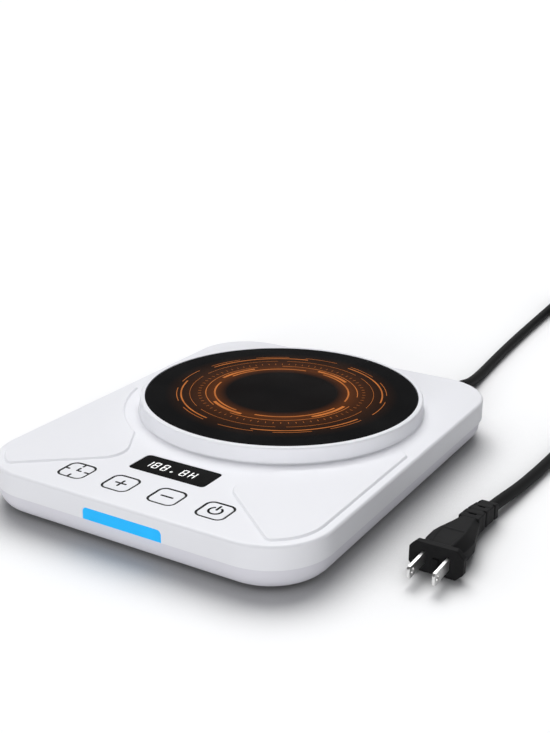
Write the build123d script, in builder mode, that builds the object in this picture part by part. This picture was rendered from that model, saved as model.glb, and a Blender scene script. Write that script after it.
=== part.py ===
from build123d import *

import math
import os

os.makedirs("parts", exist_ok=True)

# A warming mat: a flat two-part casing with a round heated glass plate, a row of four press keys,
# a display and a light bar at the front, and a mains cord with its plug at the back.
# Millimetres. X to the right, Y to the back, Z up, origin on the floor under the casing's middle.

# Casing
casing_corner = 35.0
foot_height = 1.5
lower_height = 12.4
upper_height = 12.7
upper_wall = 2.2
lower_wall = 2.0
lower_inset = 1.5
lower_edge_radius = 8.2
tray_inset = 6.5
top_edge_radius = 1.6
shell_gap = 0.2
shell_flange = 2.0

# Clearances that pieces share
clearance = 0.1
screw_clearance = 0.05

# Heated plate and its collar
collar_to_side = 16.2
collar_to_back = 14.7
glass_radius = 81.75
glass_thickness = 4.0
glass_gap = 0.25
glass_below_rim = 0.2
glass_chamfer = 0.4
collar_height = 9.2
collar_base_wall = 3.3
collar_rim_wall = 2.8
collar_base_fillet = 0.8
collar_rim_fillet = 0.8
ledge_width = 6.0
ledge_thickness = 2.2
seal_width = 4.7
seal_thickness = 0.8

# Heater stack under the plate
stack_gap = 1.0
spreader_thickness = 1.5
mica_thickness = 0.3
element_thickness = 0.2
element_edge = 1.0
track_inner_radius = 14.0
track_width = 5.0
track_pitch = 9.0
track_slot = 4.0
insulation_thickness = 3.7
retainer_thickness = 1.2
retainer_gap = 0.6
retainer_rib_inset = 15.4
retainer_rib_width = 3.0
retainer_rib_depth = 1.0
heater_boss_radius = 2.9
heater_boss_inset = 3.0
heater_boss_count = 6
heater_screw_radius = 1.45
heater_screw_head = 2.6
heater_screw_head_height = 1.8
heater_screw_length = 5.0
tail_hole_radius = 1.9
sensor_radius = 2.5
sensor_hole_gap = 0.5
sensor_flange = 1.5
sensor_flange_thickness = 1.2
sensor_below = 1.2
cutout_x = -30.0
cutout_y = -4.0
cutout_radius = 8.0
cutout_body = 7.0
cutout_ear_thickness = 1.0
cutout_ear_width = 7.0
cutout_screw_x = 12.0
cutout_screw_radius = 1.4
cutout_screw_head = 2.5
cutout_screw_head_height = 1.6
cutout_blade_x = 5.0
cutout_blade_width = 4.8
cutout_blade_thickness = 0.8
cutout_blade_length = 7.0
cutout_blade_rise = 1.0

# Raised corner panels of the casing's top
panel_rise = 1.0
panel_chamfer = 0.9
panel_margin = 4.9
panel_ring_gap = 8.5
panel_from_display = 7.7
panel_below_display = 0.2
panel_tip_angle = -63.0
panel_arc_start = -58.6
panel_side_step = 5.626
panel_side_drop = 6.149
panel_tip_fillet = 3.3
panel_vertex_fillet = 16.0
panel_arc_fillet = 4.0
panel_side_fillet = 2.5

# Keys and their switches
key_names = ("timer", "plus", "minus", "power")
key_pitch = 29.0
key_from_front = 21.4
key_size = 14.85
key_corner = 3.45
key_outline = 1.2
key_air = 0.15
key_travel = 0.4
key_shell = 1.5
key_edge_fillet = 0.4
key_flange_width = 1.6
key_flange_thickness = 0.8
key_flange_gap = 0.3
key_stem_radius = 2.5
switch_size = 6.2
switch_height = 3.5
plunger_radius = 1.7
plunger_height = 1.1
plunger_play = 0.2
plunger_depth = 1.5
plunger_floor_gap = 0.3

# Display
display_to_keys = 10.225
display_to_collar = 14.75
display_width = 48.2
display_height = 18.9
display_corner = 2.5
window_thickness = 1.3
window_below_top = 0.1
window_ledge = 1.6
window_chamfer = 0.2
module_margin = 3.0
module_gap = 0.4
digit_width = 6.0
digit_height = 10.5
digit_stroke = 1.2
digit_pitch = 8.2
digit_count = 5
digit_depth = 0.3

# Light bar and its lamps
bar_x = 2.0
bar_width = 48.4
bar_height = 6.55
bar_corner = 2.5
bar_flange = 2.0
bar_flange_thickness = 1.5
guide_side = 1.8
guide_height = 5.4
guide_gap = 0.3
lamp_count = 5
lamp_pitch = 8.0
lamp_width = 4.0
lamp_depth = 2.5
lamp_height = 2.4

# Control board, hung under the casing's top
board_thickness = 1.6
board_corner = 2.0
board_screw_inset = 5.0
board_screw_radius = 1.2
board_screw_head = 2.3
board_screw_head_height = 1.5
board_screw_bite = 5.0
control_side = 18.5
control_depth = 46.0
control_from_front = 14.0
control_drop = 8.4
control_boss_radius = 2.8
chip_x = -40.0
chip_from_back = 14.0
chip_length = 13.0
chip_width = 7.5
chip_height = 2.0
chip_leg_pitch = 1.27
chip_leg_width = 0.5
chip_leg_height = 0.8
chip_leg_reach = 2.0
chip_leg_count = 9
sounder_x = 41.0
sounder_from_back = 11.0
sounder_radius = 4.5
sounder_height = 5.5
sounder_hole = 0.9

# Power board on the tray's floor, with its parts placed from the board's middle
power_width = 96.0
power_depth = 56.0
power_x = -8.0
power_from_back = 15.0
power_post_height = 2.5
power_post_radius = 3.2
transformer_at = (-6.0, 2.0)
transformer_core = (16.0, 18.0, 12.5)
transformer_coil = (19.0, 11.0, 7.0)
transformer_coil_lift = 3.0
relay_at = (22.0, -12.0)
relay_size = (18.4, 10.2, 12.5)
relay_corner = 0.8
smoothing_from_end = 18.0
smoothing_x = smoothing_from_end - power_width / 2
smoothing_at = ((smoothing_x, 10.0), (smoothing_x, -4.0))
smoothing_radius = 5.0
smoothing_height = 12.5
smoothing_fillet = 0.8
filter_at = (25.0, 19.0)
filter_size = (17.0, 7.0, 12.0)
filter_corner = 0.6
fuse_at = (20.0, 4.0)
fuse_radius = 4.2
fuse_height = 8.0
terminal_from_end = 7.0
terminal_at = (power_width / 2 - terminal_from_end, 4.0)
terminal_width = 10.0
terminal_length = 18.0
terminal_height = 9.5
terminal_pitch = 8.0
terminal_wire_lift = 5.0
terminal_screw_radius = 2.4
terminal_screw_depth = 2.0

# Casing screws, vents and feet
casing_boss_from_side = 17.5
casing_boss_from_end = 33.0
casing_boss_middle_from_side = 11.5
casing_boss_radius = 4.0
casing_screw_radius = 1.5
casing_screw_head = 2.9
casing_screw_head_height = 2.2
casing_screw_bite = 6.5
casing_screw_seat = 4.5
well_radius = 3.6
well_wall = 1.6
vent_rows = (-28.0, 22.0)
vent_count = 7
vent_pitch = 9.0
vent_length = 26.0
vent_width = 2.4
foot_radius = 8.0
foot_recess = 0.8
foot_from_side = 31.5
foot_from_end = 37.0
foot_chamfer = 0.5

# Cord entry, with the cord's clamp inside
cord_diameter = 6.6
cord_from_side = 41.0
cord_exit_height = 8.9
relief_length = 26.5
relief_flange = 1.5
relief_flange_width = 12.0
relief_flange_height = 9.4
relief_neck_width = 9.8
relief_neck_height = 8.0
relief_base_radius = 4.6
relief_tip_radius = 3.9
relief_rib_count = 6
relief_rib_share = 0.35
relief_groove = 0.6
entry_gap = 1.0
entry_gap_below = 0.6
entry_corner = 3.0
tail_length = 17.0
clamp_from_back = 19.0
clamp_length = 25.0
clamp_width = 7.0
clamp_corner = 2.0
clamp_post_x = 8.5
clamp_post_radius = 3.0
clamp_saddle_width = 10.0
clamp_saddle_depth = 4.0
clamp_post_height = 6.0
clamp_thickness = 4.0
core_diameter = 2.3
core_spacing = 2.9

# Coil of the cord, and its tie
coil_x = 96.6
coil_y = 426.0
coil_radius = 45.1
coil_pitch = 7.4
coil_climb_inset = 1.0
coil_half_turns = 3
tie_width = 6.0
tie_thickness = 0.8
tie_clearance = 0.5

# Plug
plug_x = 141.6
plug_front = -65.0
plug_flange_width = 27.5
plug_flange_height = 16.0
plug_flange_depth = 5.5
plug_flange_cut = 4.0
plug_flange_fillet = 1.2
grip_length = 36.0
grip_shoulder = 8.0
grip_slope = 27.0
grip_front_width = 20.0
grip_shoulder_width = 21.0
grip_slope_width = 16.0
grip_back_width = 12.6
grip_flatness = 0.85
segment_count = 3
segment_pitch = 9.5
segment_groove = 1.6
segment_step = 0.9
segment_taper = 1.4
segment_flatness = 0.92
facet_share = 0.24
neck_wall = 0.9
blade_spacing = 12.7
blade_width = 6.35
blade_thickness = 1.5
blade_length = 18.0
blade_root = 8.0
blade_tip_chamfer = 1.2
blade_edge_chamfer = 0.45
blade_hole_radius = 1.6
blade_hole_from_tip = 4.0

# Levels
parting_z = foot_height + lower_height
top_z = parting_z + upper_height
inner_top_z = top_z - upper_wall
floor_z = foot_height + lower_wall
joint_z = parting_z + shell_flange
rim_z = top_z + collar_height
glass_top_z = rim_z - glass_below_rim
glass_bottom_z = glass_top_z - glass_thickness
ledge_top_z = glass_bottom_z - seal_thickness
ledge_bottom_z = ledge_top_z - ledge_thickness
spreader_bottom_z = glass_bottom_z - spreader_thickness
element_top_z = spreader_bottom_z - mica_thickness
element_bottom_z = element_top_z - element_thickness
insulation_top_z = element_bottom_z - mica_thickness
retainer_top_z = insulation_top_z - insulation_thickness
retainer_bottom_z = retainer_top_z - retainer_thickness
window_bottom_z = top_z - window_below_top - window_thickness
control_top_z = inner_top_z - control_drop
control_bottom_z = control_top_z - board_thickness
switch_top_z = control_top_z + switch_height
plunger_top_z = switch_top_z + plunger_height
power_bottom_z = floor_z + power_post_height
power_top_z = power_bottom_z + board_thickness
screw_seat_z = foot_height + casing_screw_seat
clamp_z = floor_z + clamp_post_height
cord_z = cord_exit_height
cord_lay = cord_diameter / 2 + 0.05
plug_z = plug_flange_height / 2

# Places in plan
seat_radius = glass_radius + glass_gap
opening_radius = seat_radius - ledge_width
spreader_radius = opening_radius - stack_gap
collar_base_radius = seat_radius + collar_base_wall
collar_rim_radius = seat_radius + collar_rim_wall
collar_foot_radius = collar_base_radius + collar_base_fillet
casing_width = 2 * (collar_base_radius + collar_to_side)
key_row_depth = key_from_front + key_size / 2 + display_to_keys
casing_depth = key_row_depth + display_height + display_to_collar + 2 * collar_base_radius + collar_to_back
side_x = casing_width / 2
back_y = casing_depth / 2
front_y = -back_y
inner_front_y = front_y + upper_wall
entry_y = back_y - tray_inset + lower_wall
ring_y = back_y - collar_to_back - collar_base_radius
ring_axis = Axis((0, ring_y, 0), (0, 0, 1))
ring_section = Plane(origin=(0, ring_y, 0), x_dir=(1, 0, 0), z_dir=(0, -1, 0))
display_y = front_y + key_row_depth + display_height / 2
key_y = front_y + key_from_front
key_spots = [((i - (len(key_names) - 1) / 2) * key_pitch, key_y) for i in range(len(key_names))]
aperture_size = key_size + 2 * key_outline
aperture_corner = key_corner + key_outline
control_width = key_pitch * (len(key_names) - 1) + 2 * control_side
control_front_y = front_y + control_from_front
control_y = control_front_y + control_depth / 2
control_back_y = control_front_y + control_depth
power_y = back_y - power_from_back - power_depth / 2
power_front_y = power_y - power_depth / 2
cord_x = side_x - cord_from_side
clamp_y = back_y - clamp_from_back


def corners(half_x, half_y, middle=(0, 0)):
    """The four corners of a rectangle about a middle, in plan."""
    return [(middle[0] + sx * half_x, middle[1] + sy * half_y) for sx in (-1, 1) for sy in (-1, 1)]


def around(centre, radius, angle):
    """The point in plan at an angle in degrees on a circle."""
    return (
        centre[0] + radius * math.cos(math.radians(angle)),
        centre[1] + radius * math.sin(math.radians(angle)),
    )


def on_power_board(at):
    """A place on the power board, given from its middle."""
    return (power_x + at[0], power_y + at[1])


def board_corners(width, depth, middle):
    """The places of a board's four screws."""
    return corners(width / 2 - board_screw_inset, depth / 2 - board_screw_inset, middle)


control_bosses = board_corners(control_width, control_depth, (0, control_y))
power_posts = board_corners(power_width, power_depth, (power_x, power_y))
clamp_posts = [(cord_x + side * clamp_post_x, clamp_y) for side in (-1, 1)]
casing_screw_points = corners(side_x - casing_boss_from_side, back_y - casing_boss_from_end) + [
    (side * (side_x - casing_boss_middle_from_side), 0) for side in (-1, 1)
]
foot_points = corners(side_x - foot_from_side, back_y - foot_from_end)
heater_bosses = [
    around((0, ring_y), seat_radius - heater_boss_inset, 360 / heater_boss_count * (i + 0.5))
    for i in range(heater_boss_count)
]
sensor_spot = (0, ring_y)
sensor_hole = sensor_radius + sensor_hole_gap
cutout_spot = (cutout_x, ring_y + cutout_y)
cutout_screw_spots = [(cutout_spot[0] + side * cutout_screw_x, cutout_spot[1]) for side in (-1, 1)]


def keep(piece, node):
    """Label a finished piece and write it to its own file."""
    piece.part.label = node
    export_step(piece.part, f"parts/{node}.step")


def level(z):
    """The horizontal plane at height z."""
    return Plane.XY.offset(z)


def across(x, y, z):
    """The upright plane through a point, facing the front, with X to the right and Z up."""
    return Plane(origin=(x, y, z), x_dir=(1, 0, 0), z_dir=(0, -1, 0))


def casing_plan(inset):
    """The casing's outline in plan, moved in by inset, in the sketch that is open."""
    RectangleRounded(casing_width - 2 * inset, casing_depth - 2 * inset, casing_corner - inset)


def corner_radii(points):
    """One radius for each corner of a route, as large as its two runs allow."""
    radii = []
    for before, corner, after in zip(points, points[1:], points[2:]):
        arriving = Vector(*corner) - Vector(*before)
        leaving = Vector(*after) - Vector(*corner)
        half_angle = math.radians(arriving.get_angle(leaving) / 2)
        radii.append(0.45 * min(arriving.length, leaving.length) / math.tan(half_angle))
    return radii


def tube(points, diameter):
    """A round tube along straight runs joined by tangent arcs, in the part that is open."""
    with BuildLine() as path:
        FilletPolyline(*points, radius=corner_radii(points))
    with BuildSketch(Plane(origin=points[0], z_dir=Vector(*points[1]) - Vector(*points[0]))) as section:
        Circle(diameter / 2)
    sweep(section.sketch, path=path.wires()[0])
    return path.wires()[0].length


def print_tube(name, piece, length, diameter, points):
    """Print a tube's length, its volume against section times length, and its radii."""
    ratio = piece.part.volume / (math.pi * diameter**2 / 4 * length)
    radii = [round(radius) for radius in corner_radii(points)]
    print(f"{name}: length {length:.1f}, volume ratio {ratio:.4f}, radii {radii}")


def screws_from_below(points, seat_z, head_radius, head_height, shank_radius, shank_length):
    """Cross-head screws: the head hangs under the seat and the shank stands above it."""
    with BuildPart() as group:
        with BuildSketch(level(seat_z - head_height)):
            with Locations(*points):
                Circle(head_radius)
        extrude(amount=head_height)
        fillet(group.faces().sort_by(Axis.Z)[0 : len(points)].edges(), head_height / 4)
        with BuildSketch(level(seat_z)):
            with Locations(*points):
                Circle(shank_radius)
        extrude(amount=shank_length)
        with BuildSketch(level(seat_z - head_height)):
            with Locations(*points):
                Rectangle(head_radius, head_radius / 4)
                Rectangle(head_radius / 4, head_radius)
        extrude(amount=head_height / 2, mode=Mode.SUBTRACT)
    return group


def screws_from_above(points, seat_z, shank_length):
    """Board screws: the head stands on the seat and the shank hangs below it."""
    with BuildPart() as group:
        with BuildSketch(level(seat_z)):
            with Locations(*points):
                Circle(board_screw_head)
        extrude(amount=board_screw_head_height)
        fillet(group.faces().sort_by(Axis.Z)[-len(points) :].edges(), board_screw_head_height / 4)
        with BuildSketch(level(seat_z - shank_length)):
            with Locations(*points):
                Circle(board_screw_radius)
        extrude(amount=shank_length)
        with BuildSketch(level(seat_z + board_screw_head_height / 2)):
            with Locations(*points):
                Rectangle(board_screw_head, board_screw_head / 4)
                Rectangle(board_screw_head / 4, board_screw_head)
        extrude(amount=board_screw_head_height / 2, mode=Mode.SUBTRACT)
    return group


def block(node, spot, size, corner):
    """A boxed board part with rounded upright edges."""
    with BuildPart() as piece:
        with BuildSketch(level(power_top_z)):
            with Locations(spot):
                RectangleRounded(size[0], size[1], corner)
        extrude(amount=size[2])
    keep(piece, node)


# Upper shell: the casing's top and sides with the raised corner panels, the key openings,
# the display's seat, the light bar's slot and the bosses that hang inside it
panel_corner = (side_x - casing_corner, front_y + casing_corner)
panel_corner_radius = casing_corner - panel_margin
panel_ring_radius = collar_base_radius + panel_ring_gap
panel_tip = around(panel_corner, panel_corner_radius, panel_tip_angle)
panel_vertex = (display_width / 2 + panel_from_display, display_y - panel_below_display)
panel_ring_start = around((0, ring_y), panel_ring_radius, panel_arc_start)
panel_side_x = side_x - panel_margin
panel_arc_end = -math.degrees(math.acos((panel_side_x - panel_side_step) / panel_ring_radius))
panel_ring_end = around((0, ring_y), panel_ring_radius, panel_arc_end)
panel_side = (panel_side_x, panel_ring_end[1] - panel_side_drop)

with BuildPart() as upper_shell:
    with BuildSketch(level(parting_z)):
        casing_plan(0)
    extrude(amount=upper_height)
    fillet(upper_shell.faces().sort_by(Axis.Z)[-1].edges(), top_edge_radius)

    with BuildSketch(level(top_z)) as panels:
        with BuildLine():
            Line(panel_tip, panel_vertex)
            Line(panel_vertex, panel_ring_start)
            CenterArc((0, ring_y), panel_ring_radius, panel_arc_start, panel_arc_end - panel_arc_start)
            Line(panel_ring_end, panel_side)
            Line(panel_side, (panel_side[0], panel_corner[1]))
            CenterArc(panel_corner, panel_corner_radius, panel_tip_angle, -panel_tip_angle)
        make_face()
        fillet(panels.vertices().sort_by_distance(panel_tip)[0], panel_tip_fillet)
        fillet(panels.vertices().sort_by_distance(panel_vertex)[0], panel_vertex_fillet)
        fillet(panels.vertices().sort_by_distance(panel_ring_start)[0], panel_arc_fillet)
        fillet(panels.vertices().sort_by_distance(panel_side)[0], panel_side_fillet)
        mirror(about=Plane.YZ)
    extrude(amount=panel_rise)
    chamfer(upper_shell.faces().sort_by(Axis.Z)[-2:].edges(), panel_chamfer)
    with BuildSketch(level(parting_z)):
        casing_plan(upper_wall)
    extrude(amount=inner_top_z - parting_z, mode=Mode.SUBTRACT)
    with BuildSketch(level(inner_top_z)):
        with Locations((0, ring_y)):
            Circle(collar_foot_radius)
    extrude(amount=upper_wall, mode=Mode.SUBTRACT)
    with BuildSketch(level(joint_z)):
        with Locations(*casing_screw_points):
            Circle(casing_boss_radius)
    extrude(amount=inner_top_z - joint_z)
    with BuildSketch(level(control_top_z)):
        with Locations(*control_bosses):
            Circle(control_boss_radius)
    extrude(amount=control_drop)

    with BuildSketch(level(joint_z)):
        with Locations(*casing_screw_points):
            Circle(casing_screw_radius + screw_clearance)
    extrude(amount=casing_screw_bite, mode=Mode.SUBTRACT)
    with BuildSketch(level(control_top_z)):
        with Locations(*control_bosses):
            Circle(board_screw_radius + screw_clearance)
    extrude(amount=board_screw_bite, mode=Mode.SUBTRACT)

    with BuildSketch(level(inner_top_z)):
        with Locations(*key_spots):
            RectangleRounded(aperture_size, aperture_size, aperture_corner)
        with Locations((0, display_y)):
            RectangleRounded(
                display_width - 2 * window_ledge,
                display_height - 2 * window_ledge,
                display_corner - window_ledge / 2,
            )
    extrude(amount=upper_wall, mode=Mode.SUBTRACT)
    with BuildSketch(level(window_bottom_z)):
        with Locations((0, display_y)):
            RectangleRounded(
                display_width + 2 * clearance,
                display_height + 2 * clearance,
                display_corner + clearance,
            )
    extrude(amount=top_z - window_bottom_z, mode=Mode.SUBTRACT)
    with BuildSketch(across(bar_x, front_y, parting_z + bar_height / 2)) as slot:
        Rectangle(bar_width + 2 * clearance, bar_height + clearance)
        fillet(slot.vertices().group_by(Axis.Y)[-1], bar_corner)
    extrude(amount=-upper_wall, mode=Mode.SUBTRACT)
keep(upper_shell, "upper_shell")

# Collar: the raised ring welded into the upper shell, with a ledge for the glass and the bosses
# that the heater's retainer is screwed to
with BuildPart() as plate_collar:
    with BuildSketch(ring_section):
        with BuildLine():
            Polyline((seat_radius, inner_top_z), (collar_foot_radius, inner_top_z), (collar_foot_radius, top_z))
            TangentArc(
                (collar_foot_radius, top_z),
                (collar_base_radius, top_z + collar_base_fillet),
                tangent=(-1, 0),
            )
            Line(
                (collar_base_radius, top_z + collar_base_fillet),
                (collar_rim_radius, rim_z - collar_rim_fillet),
            )
            TangentArc(
                (collar_rim_radius, rim_z - collar_rim_fillet),
                (collar_rim_radius - collar_rim_fillet, rim_z),
                tangent=(0, 1),
            )
            Polyline(
                (collar_rim_radius - collar_rim_fillet, rim_z),
                (seat_radius, rim_z),
                (seat_radius, ledge_top_z),
                (opening_radius, ledge_top_z),
                (opening_radius, ledge_bottom_z),
                (seat_radius, ledge_bottom_z),
                (seat_radius, inner_top_z),
            )
        make_face()
    revolve(axis=ring_axis)
    with BuildSketch(level(retainer_top_z)):
        with Locations(*heater_bosses):
            Circle(heater_boss_radius)
    extrude(amount=ledge_bottom_z - retainer_top_z)
    with BuildSketch(level(retainer_top_z)):
        with Locations(*heater_bosses):
            Circle(heater_screw_radius + screw_clearance)
    extrude(amount=heater_screw_length - retainer_thickness, mode=Mode.SUBTRACT)
keep(plate_collar, "plate_collar")

# Lower shell: a tray that rounds in under the upper shell, with wells for the casing screws,
# posts for the power board, a saddle for the cord and slots for air
tongue_inset = upper_wall + shell_gap
entry_bottom_z = cord_z - relief_flange_height / 2 - entry_gap_below
with BuildPart() as lower_shell:
    with BuildSketch(level(foot_height)):
        casing_plan(lower_inset)
    extrude(amount=lower_height)
    fillet(lower_shell.faces().sort_by(Axis.Z)[0].edges(), lower_edge_radius)
    with BuildSketch(level(parting_z)):
        casing_plan(tongue_inset)
    extrude(amount=shell_flange)
    with BuildSketch(level(floor_z)):
        casing_plan(tray_inset)
    extrude(amount=joint_z - floor_z, mode=Mode.SUBTRACT)
    with BuildSketch(level(parting_z)):
        with Locations((bar_x, front_y + tongue_inset)):
            Rectangle(bar_width + 2 * bar_flange + 4 * clearance, 2 * (tray_inset - tongue_inset) + clearance)
    extrude(amount=shell_flange, mode=Mode.SUBTRACT)

    with BuildSketch(level(floor_z)):
        with Locations(*casing_screw_points):
            Circle(well_radius + well_wall)
    extrude(amount=joint_z - floor_z)
    with BuildSketch(level(floor_z)):
        with Locations(*power_posts):
            Circle(power_post_radius)
    extrude(amount=power_post_height)
    with BuildSketch(level(floor_z)):
        with Locations(*clamp_posts):
            Circle(clamp_post_radius)
        with Locations((cord_x, clamp_y)):
            Rectangle(clamp_saddle_width, clamp_saddle_depth)
    extrude(amount=clamp_post_height)

    with BuildSketch(level(foot_height)):
        with Locations(*casing_screw_points):
            Circle(well_radius)
    extrude(amount=casing_screw_seat, mode=Mode.SUBTRACT)
    with BuildSketch(level(screw_seat_z)):
        with Locations(*casing_screw_points):
            Circle(casing_screw_radius + screw_clearance)
    extrude(amount=joint_z - screw_seat_z, mode=Mode.SUBTRACT)
    with BuildSketch(level(floor_z)):
        with Locations(*power_posts, *clamp_posts):
            Circle(board_screw_radius + screw_clearance)
    extrude(amount=clamp_post_height, mode=Mode.SUBTRACT)
    with BuildSketch(level(foot_height)):
        with Locations(*foot_points):
            Circle(foot_radius + clearance)
    extrude(amount=foot_recess, mode=Mode.SUBTRACT)
    with BuildSketch(level(foot_height)):
        with Locations(*[(0, row) for row in vent_rows]):
            with GridLocations(vent_pitch, 0, vent_count, 1):
                SlotOverall(vent_length, vent_width, rotation=90)
    extrude(amount=lower_wall, mode=Mode.SUBTRACT)
    with BuildSketch(across(cord_x, clamp_y + clamp_width / 2, cord_z)):
        Circle(cord_diameter / 2 + screw_clearance)
    extrude(amount=clamp_width, mode=Mode.SUBTRACT)
    with BuildSketch(across(cord_x, entry_y, cord_z)):
        SlotOverall(relief_neck_width + 2 * clearance, relief_neck_height + 2 * clearance)
    extrude(amount=lower_wall, mode=Mode.SUBTRACT)
    with BuildSketch(across(cord_x, back_y, (entry_bottom_z + parting_z) / 2)) as entry:
        Rectangle(relief_flange_width + 2 * entry_gap, parting_z - entry_bottom_z)
        fillet(entry.vertices().group_by(Axis.Y)[0], entry_corner)
    extrude(amount=back_y - entry_y, mode=Mode.SUBTRACT)
keep(lower_shell, "lower_shell")

# Glass plate with an eased edge, on its seal
with BuildPart() as glass_plate:
    with BuildSketch(level(glass_bottom_z)):
        with Locations((0, ring_y)):
            Circle(glass_radius)
    extrude(amount=glass_thickness)
    chamfer(glass_plate.faces().sort_by(Axis.Z)[-1].edges(), glass_chamfer)
keep(glass_plate, "glass_plate")

with BuildPart() as plate_seal:
    with BuildSketch(level(ledge_top_z)):
        with Locations((0, ring_y)):
            Circle(glass_radius)
            Circle(glass_radius - seal_width, mode=Mode.SUBTRACT)
    extrude(amount=seal_thickness)
keep(plate_seal, "plate_seal")

# Heater stack under the glass: aluminium spreader, two mica sheets with the etched element between
# them, a soft insulation disc, and the pressed retainer that holds them up
with BuildPart() as heat_spreader:
    with BuildSketch(level(spreader_bottom_z)):
        with Locations((0, ring_y)):
            Circle(spreader_radius)
    extrude(amount=spreader_thickness)
keep(heat_spreader, "heat_spreader")

# The element is one track: rings cut by a slot and joined in turn on its two sides
track_room = spreader_radius - element_edge - track_inner_radius - track_width
track_count = 1 + int(track_room / track_pitch)
track_radii = [track_inner_radius + track_pitch * i for i in range(track_count)]
track_end_x = (track_slot + track_width) / 2
element_tails = (
    (-track_end_x, ring_y + track_radii[0] + track_width / 2),
    ((-1) ** (track_count + 1) * track_end_x, ring_y + track_radii[-1] + track_width / 2),
)
with BuildPart() as heater_element:
    with BuildSketch(level(element_bottom_z)):
        with Locations((0, ring_y)):
            for radius in reversed(track_radii):
                Circle(radius + track_width)
                Circle(radius, mode=Mode.SUBTRACT)
        with Locations((0, ring_y + spreader_radius / 2)):
            Rectangle(track_slot, spreader_radius, mode=Mode.SUBTRACT)
        for i, radius in enumerate(track_radii[:-1]):
            with Locations(((-1) ** i * track_end_x, ring_y + radius + (track_pitch + track_width) / 2)):
                Rectangle(track_width, track_pitch)
    extrude(amount=element_thickness)
keep(heater_element, "heater_element")

with BuildPart() as mica_sheets:
    with BuildSketch(level(element_top_z)):
        with Locations((0, ring_y)):
            Circle(spreader_radius - element_edge)
        with Locations(sensor_spot):
            Circle(sensor_hole, mode=Mode.SUBTRACT)
    extrude(amount=mica_thickness)
    with BuildSketch(level(insulation_top_z)):
        with Locations((0, ring_y)):
            Circle(spreader_radius - element_edge)
        with Locations(sensor_spot):
            Circle(sensor_hole, mode=Mode.SUBTRACT)
        with Locations(*element_tails):
            Circle(tail_hole_radius, mode=Mode.SUBTRACT)
    extrude(amount=mica_thickness)
keep(mica_sheets, "mica_sheets")

with BuildPart() as insulation_disc:
    with BuildSketch(level(retainer_top_z)):
        with Locations((0, ring_y)):
            Circle(spreader_radius)
        with Locations(sensor_spot):
            Circle(sensor_hole, mode=Mode.SUBTRACT)
        with Locations(*element_tails):
            Circle(tail_hole_radius, mode=Mode.SUBTRACT)
    extrude(amount=insulation_thickness)
keep(insulation_disc, "insulation_disc")

retainer_rib_radius = seat_radius - retainer_rib_inset
with BuildPart() as heater_retainer:
    with BuildSketch(level(retainer_bottom_z)):
        with Locations((0, ring_y)):
            Circle(seat_radius - retainer_gap)
        with Locations(*heater_bosses):
            Circle(heater_screw_radius + screw_clearance, mode=Mode.SUBTRACT)
        with Locations(*cutout_screw_spots):
            Circle(cutout_screw_radius + screw_clearance, mode=Mode.SUBTRACT)
        with Locations(sensor_spot):
            Circle(sensor_hole, mode=Mode.SUBTRACT)
        with Locations(*element_tails):
            Circle(tail_hole_radius, mode=Mode.SUBTRACT)
    extrude(amount=retainer_thickness)
    with BuildSketch(level(retainer_bottom_z - retainer_rib_depth)):
        with Locations((0, ring_y)):
            Circle(retainer_rib_radius)
            Circle(retainer_rib_radius - retainer_rib_width, mode=Mode.SUBTRACT)
    extrude(amount=retainer_rib_depth)
keep(heater_retainer, "heater_retainer")

retainer_screws = screws_from_below(
    heater_bosses,
    retainer_bottom_z,
    heater_screw_head,
    heater_screw_head_height,
    heater_screw_radius,
    heater_screw_length,
)
keep(retainer_screws, "retainer_screws")

# Sensor that touches the spreader's underside, and the safety cut-out under the retainer
sensor_bottom_z = retainer_bottom_z - sensor_flange_thickness - sensor_below
with BuildPart() as plate_sensor:
    with BuildSketch(level(retainer_bottom_z - sensor_flange_thickness)):
        with Locations(sensor_spot):
            Circle(sensor_hole + sensor_flange)
    extrude(amount=sensor_flange_thickness)
    with BuildSketch(level(sensor_bottom_z)):
        with Locations(sensor_spot):
            Circle(sensor_radius)
    extrude(amount=spreader_bottom_z - sensor_bottom_z)
keep(plate_sensor, "plate_sensor")

cutout_body_z = retainer_bottom_z - cutout_ear_thickness - cutout_body
cutout_blade_z = cutout_body_z + cutout_blade_rise
cutout_blade_spots = [(cutout_spot[0] + side * cutout_blade_x, cutout_spot[1]) for side in (-1, 1)]
cutout_blade_reach = cutout_radius + cutout_blade_length
with BuildPart() as thermal_cutout:
    with BuildSketch(level(retainer_bottom_z - cutout_ear_thickness)):
        with Locations(cutout_spot):
            SlotOverall(2 * cutout_screw_x + cutout_ear_width, cutout_ear_width)
        with Locations(*cutout_screw_spots):
            Circle(cutout_screw_radius + screw_clearance, mode=Mode.SUBTRACT)
    extrude(amount=cutout_ear_thickness)
    with BuildSketch(level(cutout_body_z)):
        with Locations(cutout_spot):
            Circle(cutout_radius)
    extrude(amount=cutout_body)
    with BuildSketch(level(cutout_blade_z)):
        with Locations(*[(x, y + cutout_blade_reach / 2) for x, y in cutout_blade_spots]):
            Rectangle(cutout_blade_width, cutout_blade_reach)
    extrude(amount=cutout_blade_thickness)
keep(thermal_cutout, "thermal_cutout")

cutout_screws = screws_from_below(
    cutout_screw_spots,
    retainer_bottom_z - cutout_ear_thickness,
    cutout_screw_head,
    cutout_screw_head_height,
    cutout_screw_radius,
    cutout_ear_thickness + retainer_thickness,
)
keep(cutout_screws, "cutout_screws")

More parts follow.
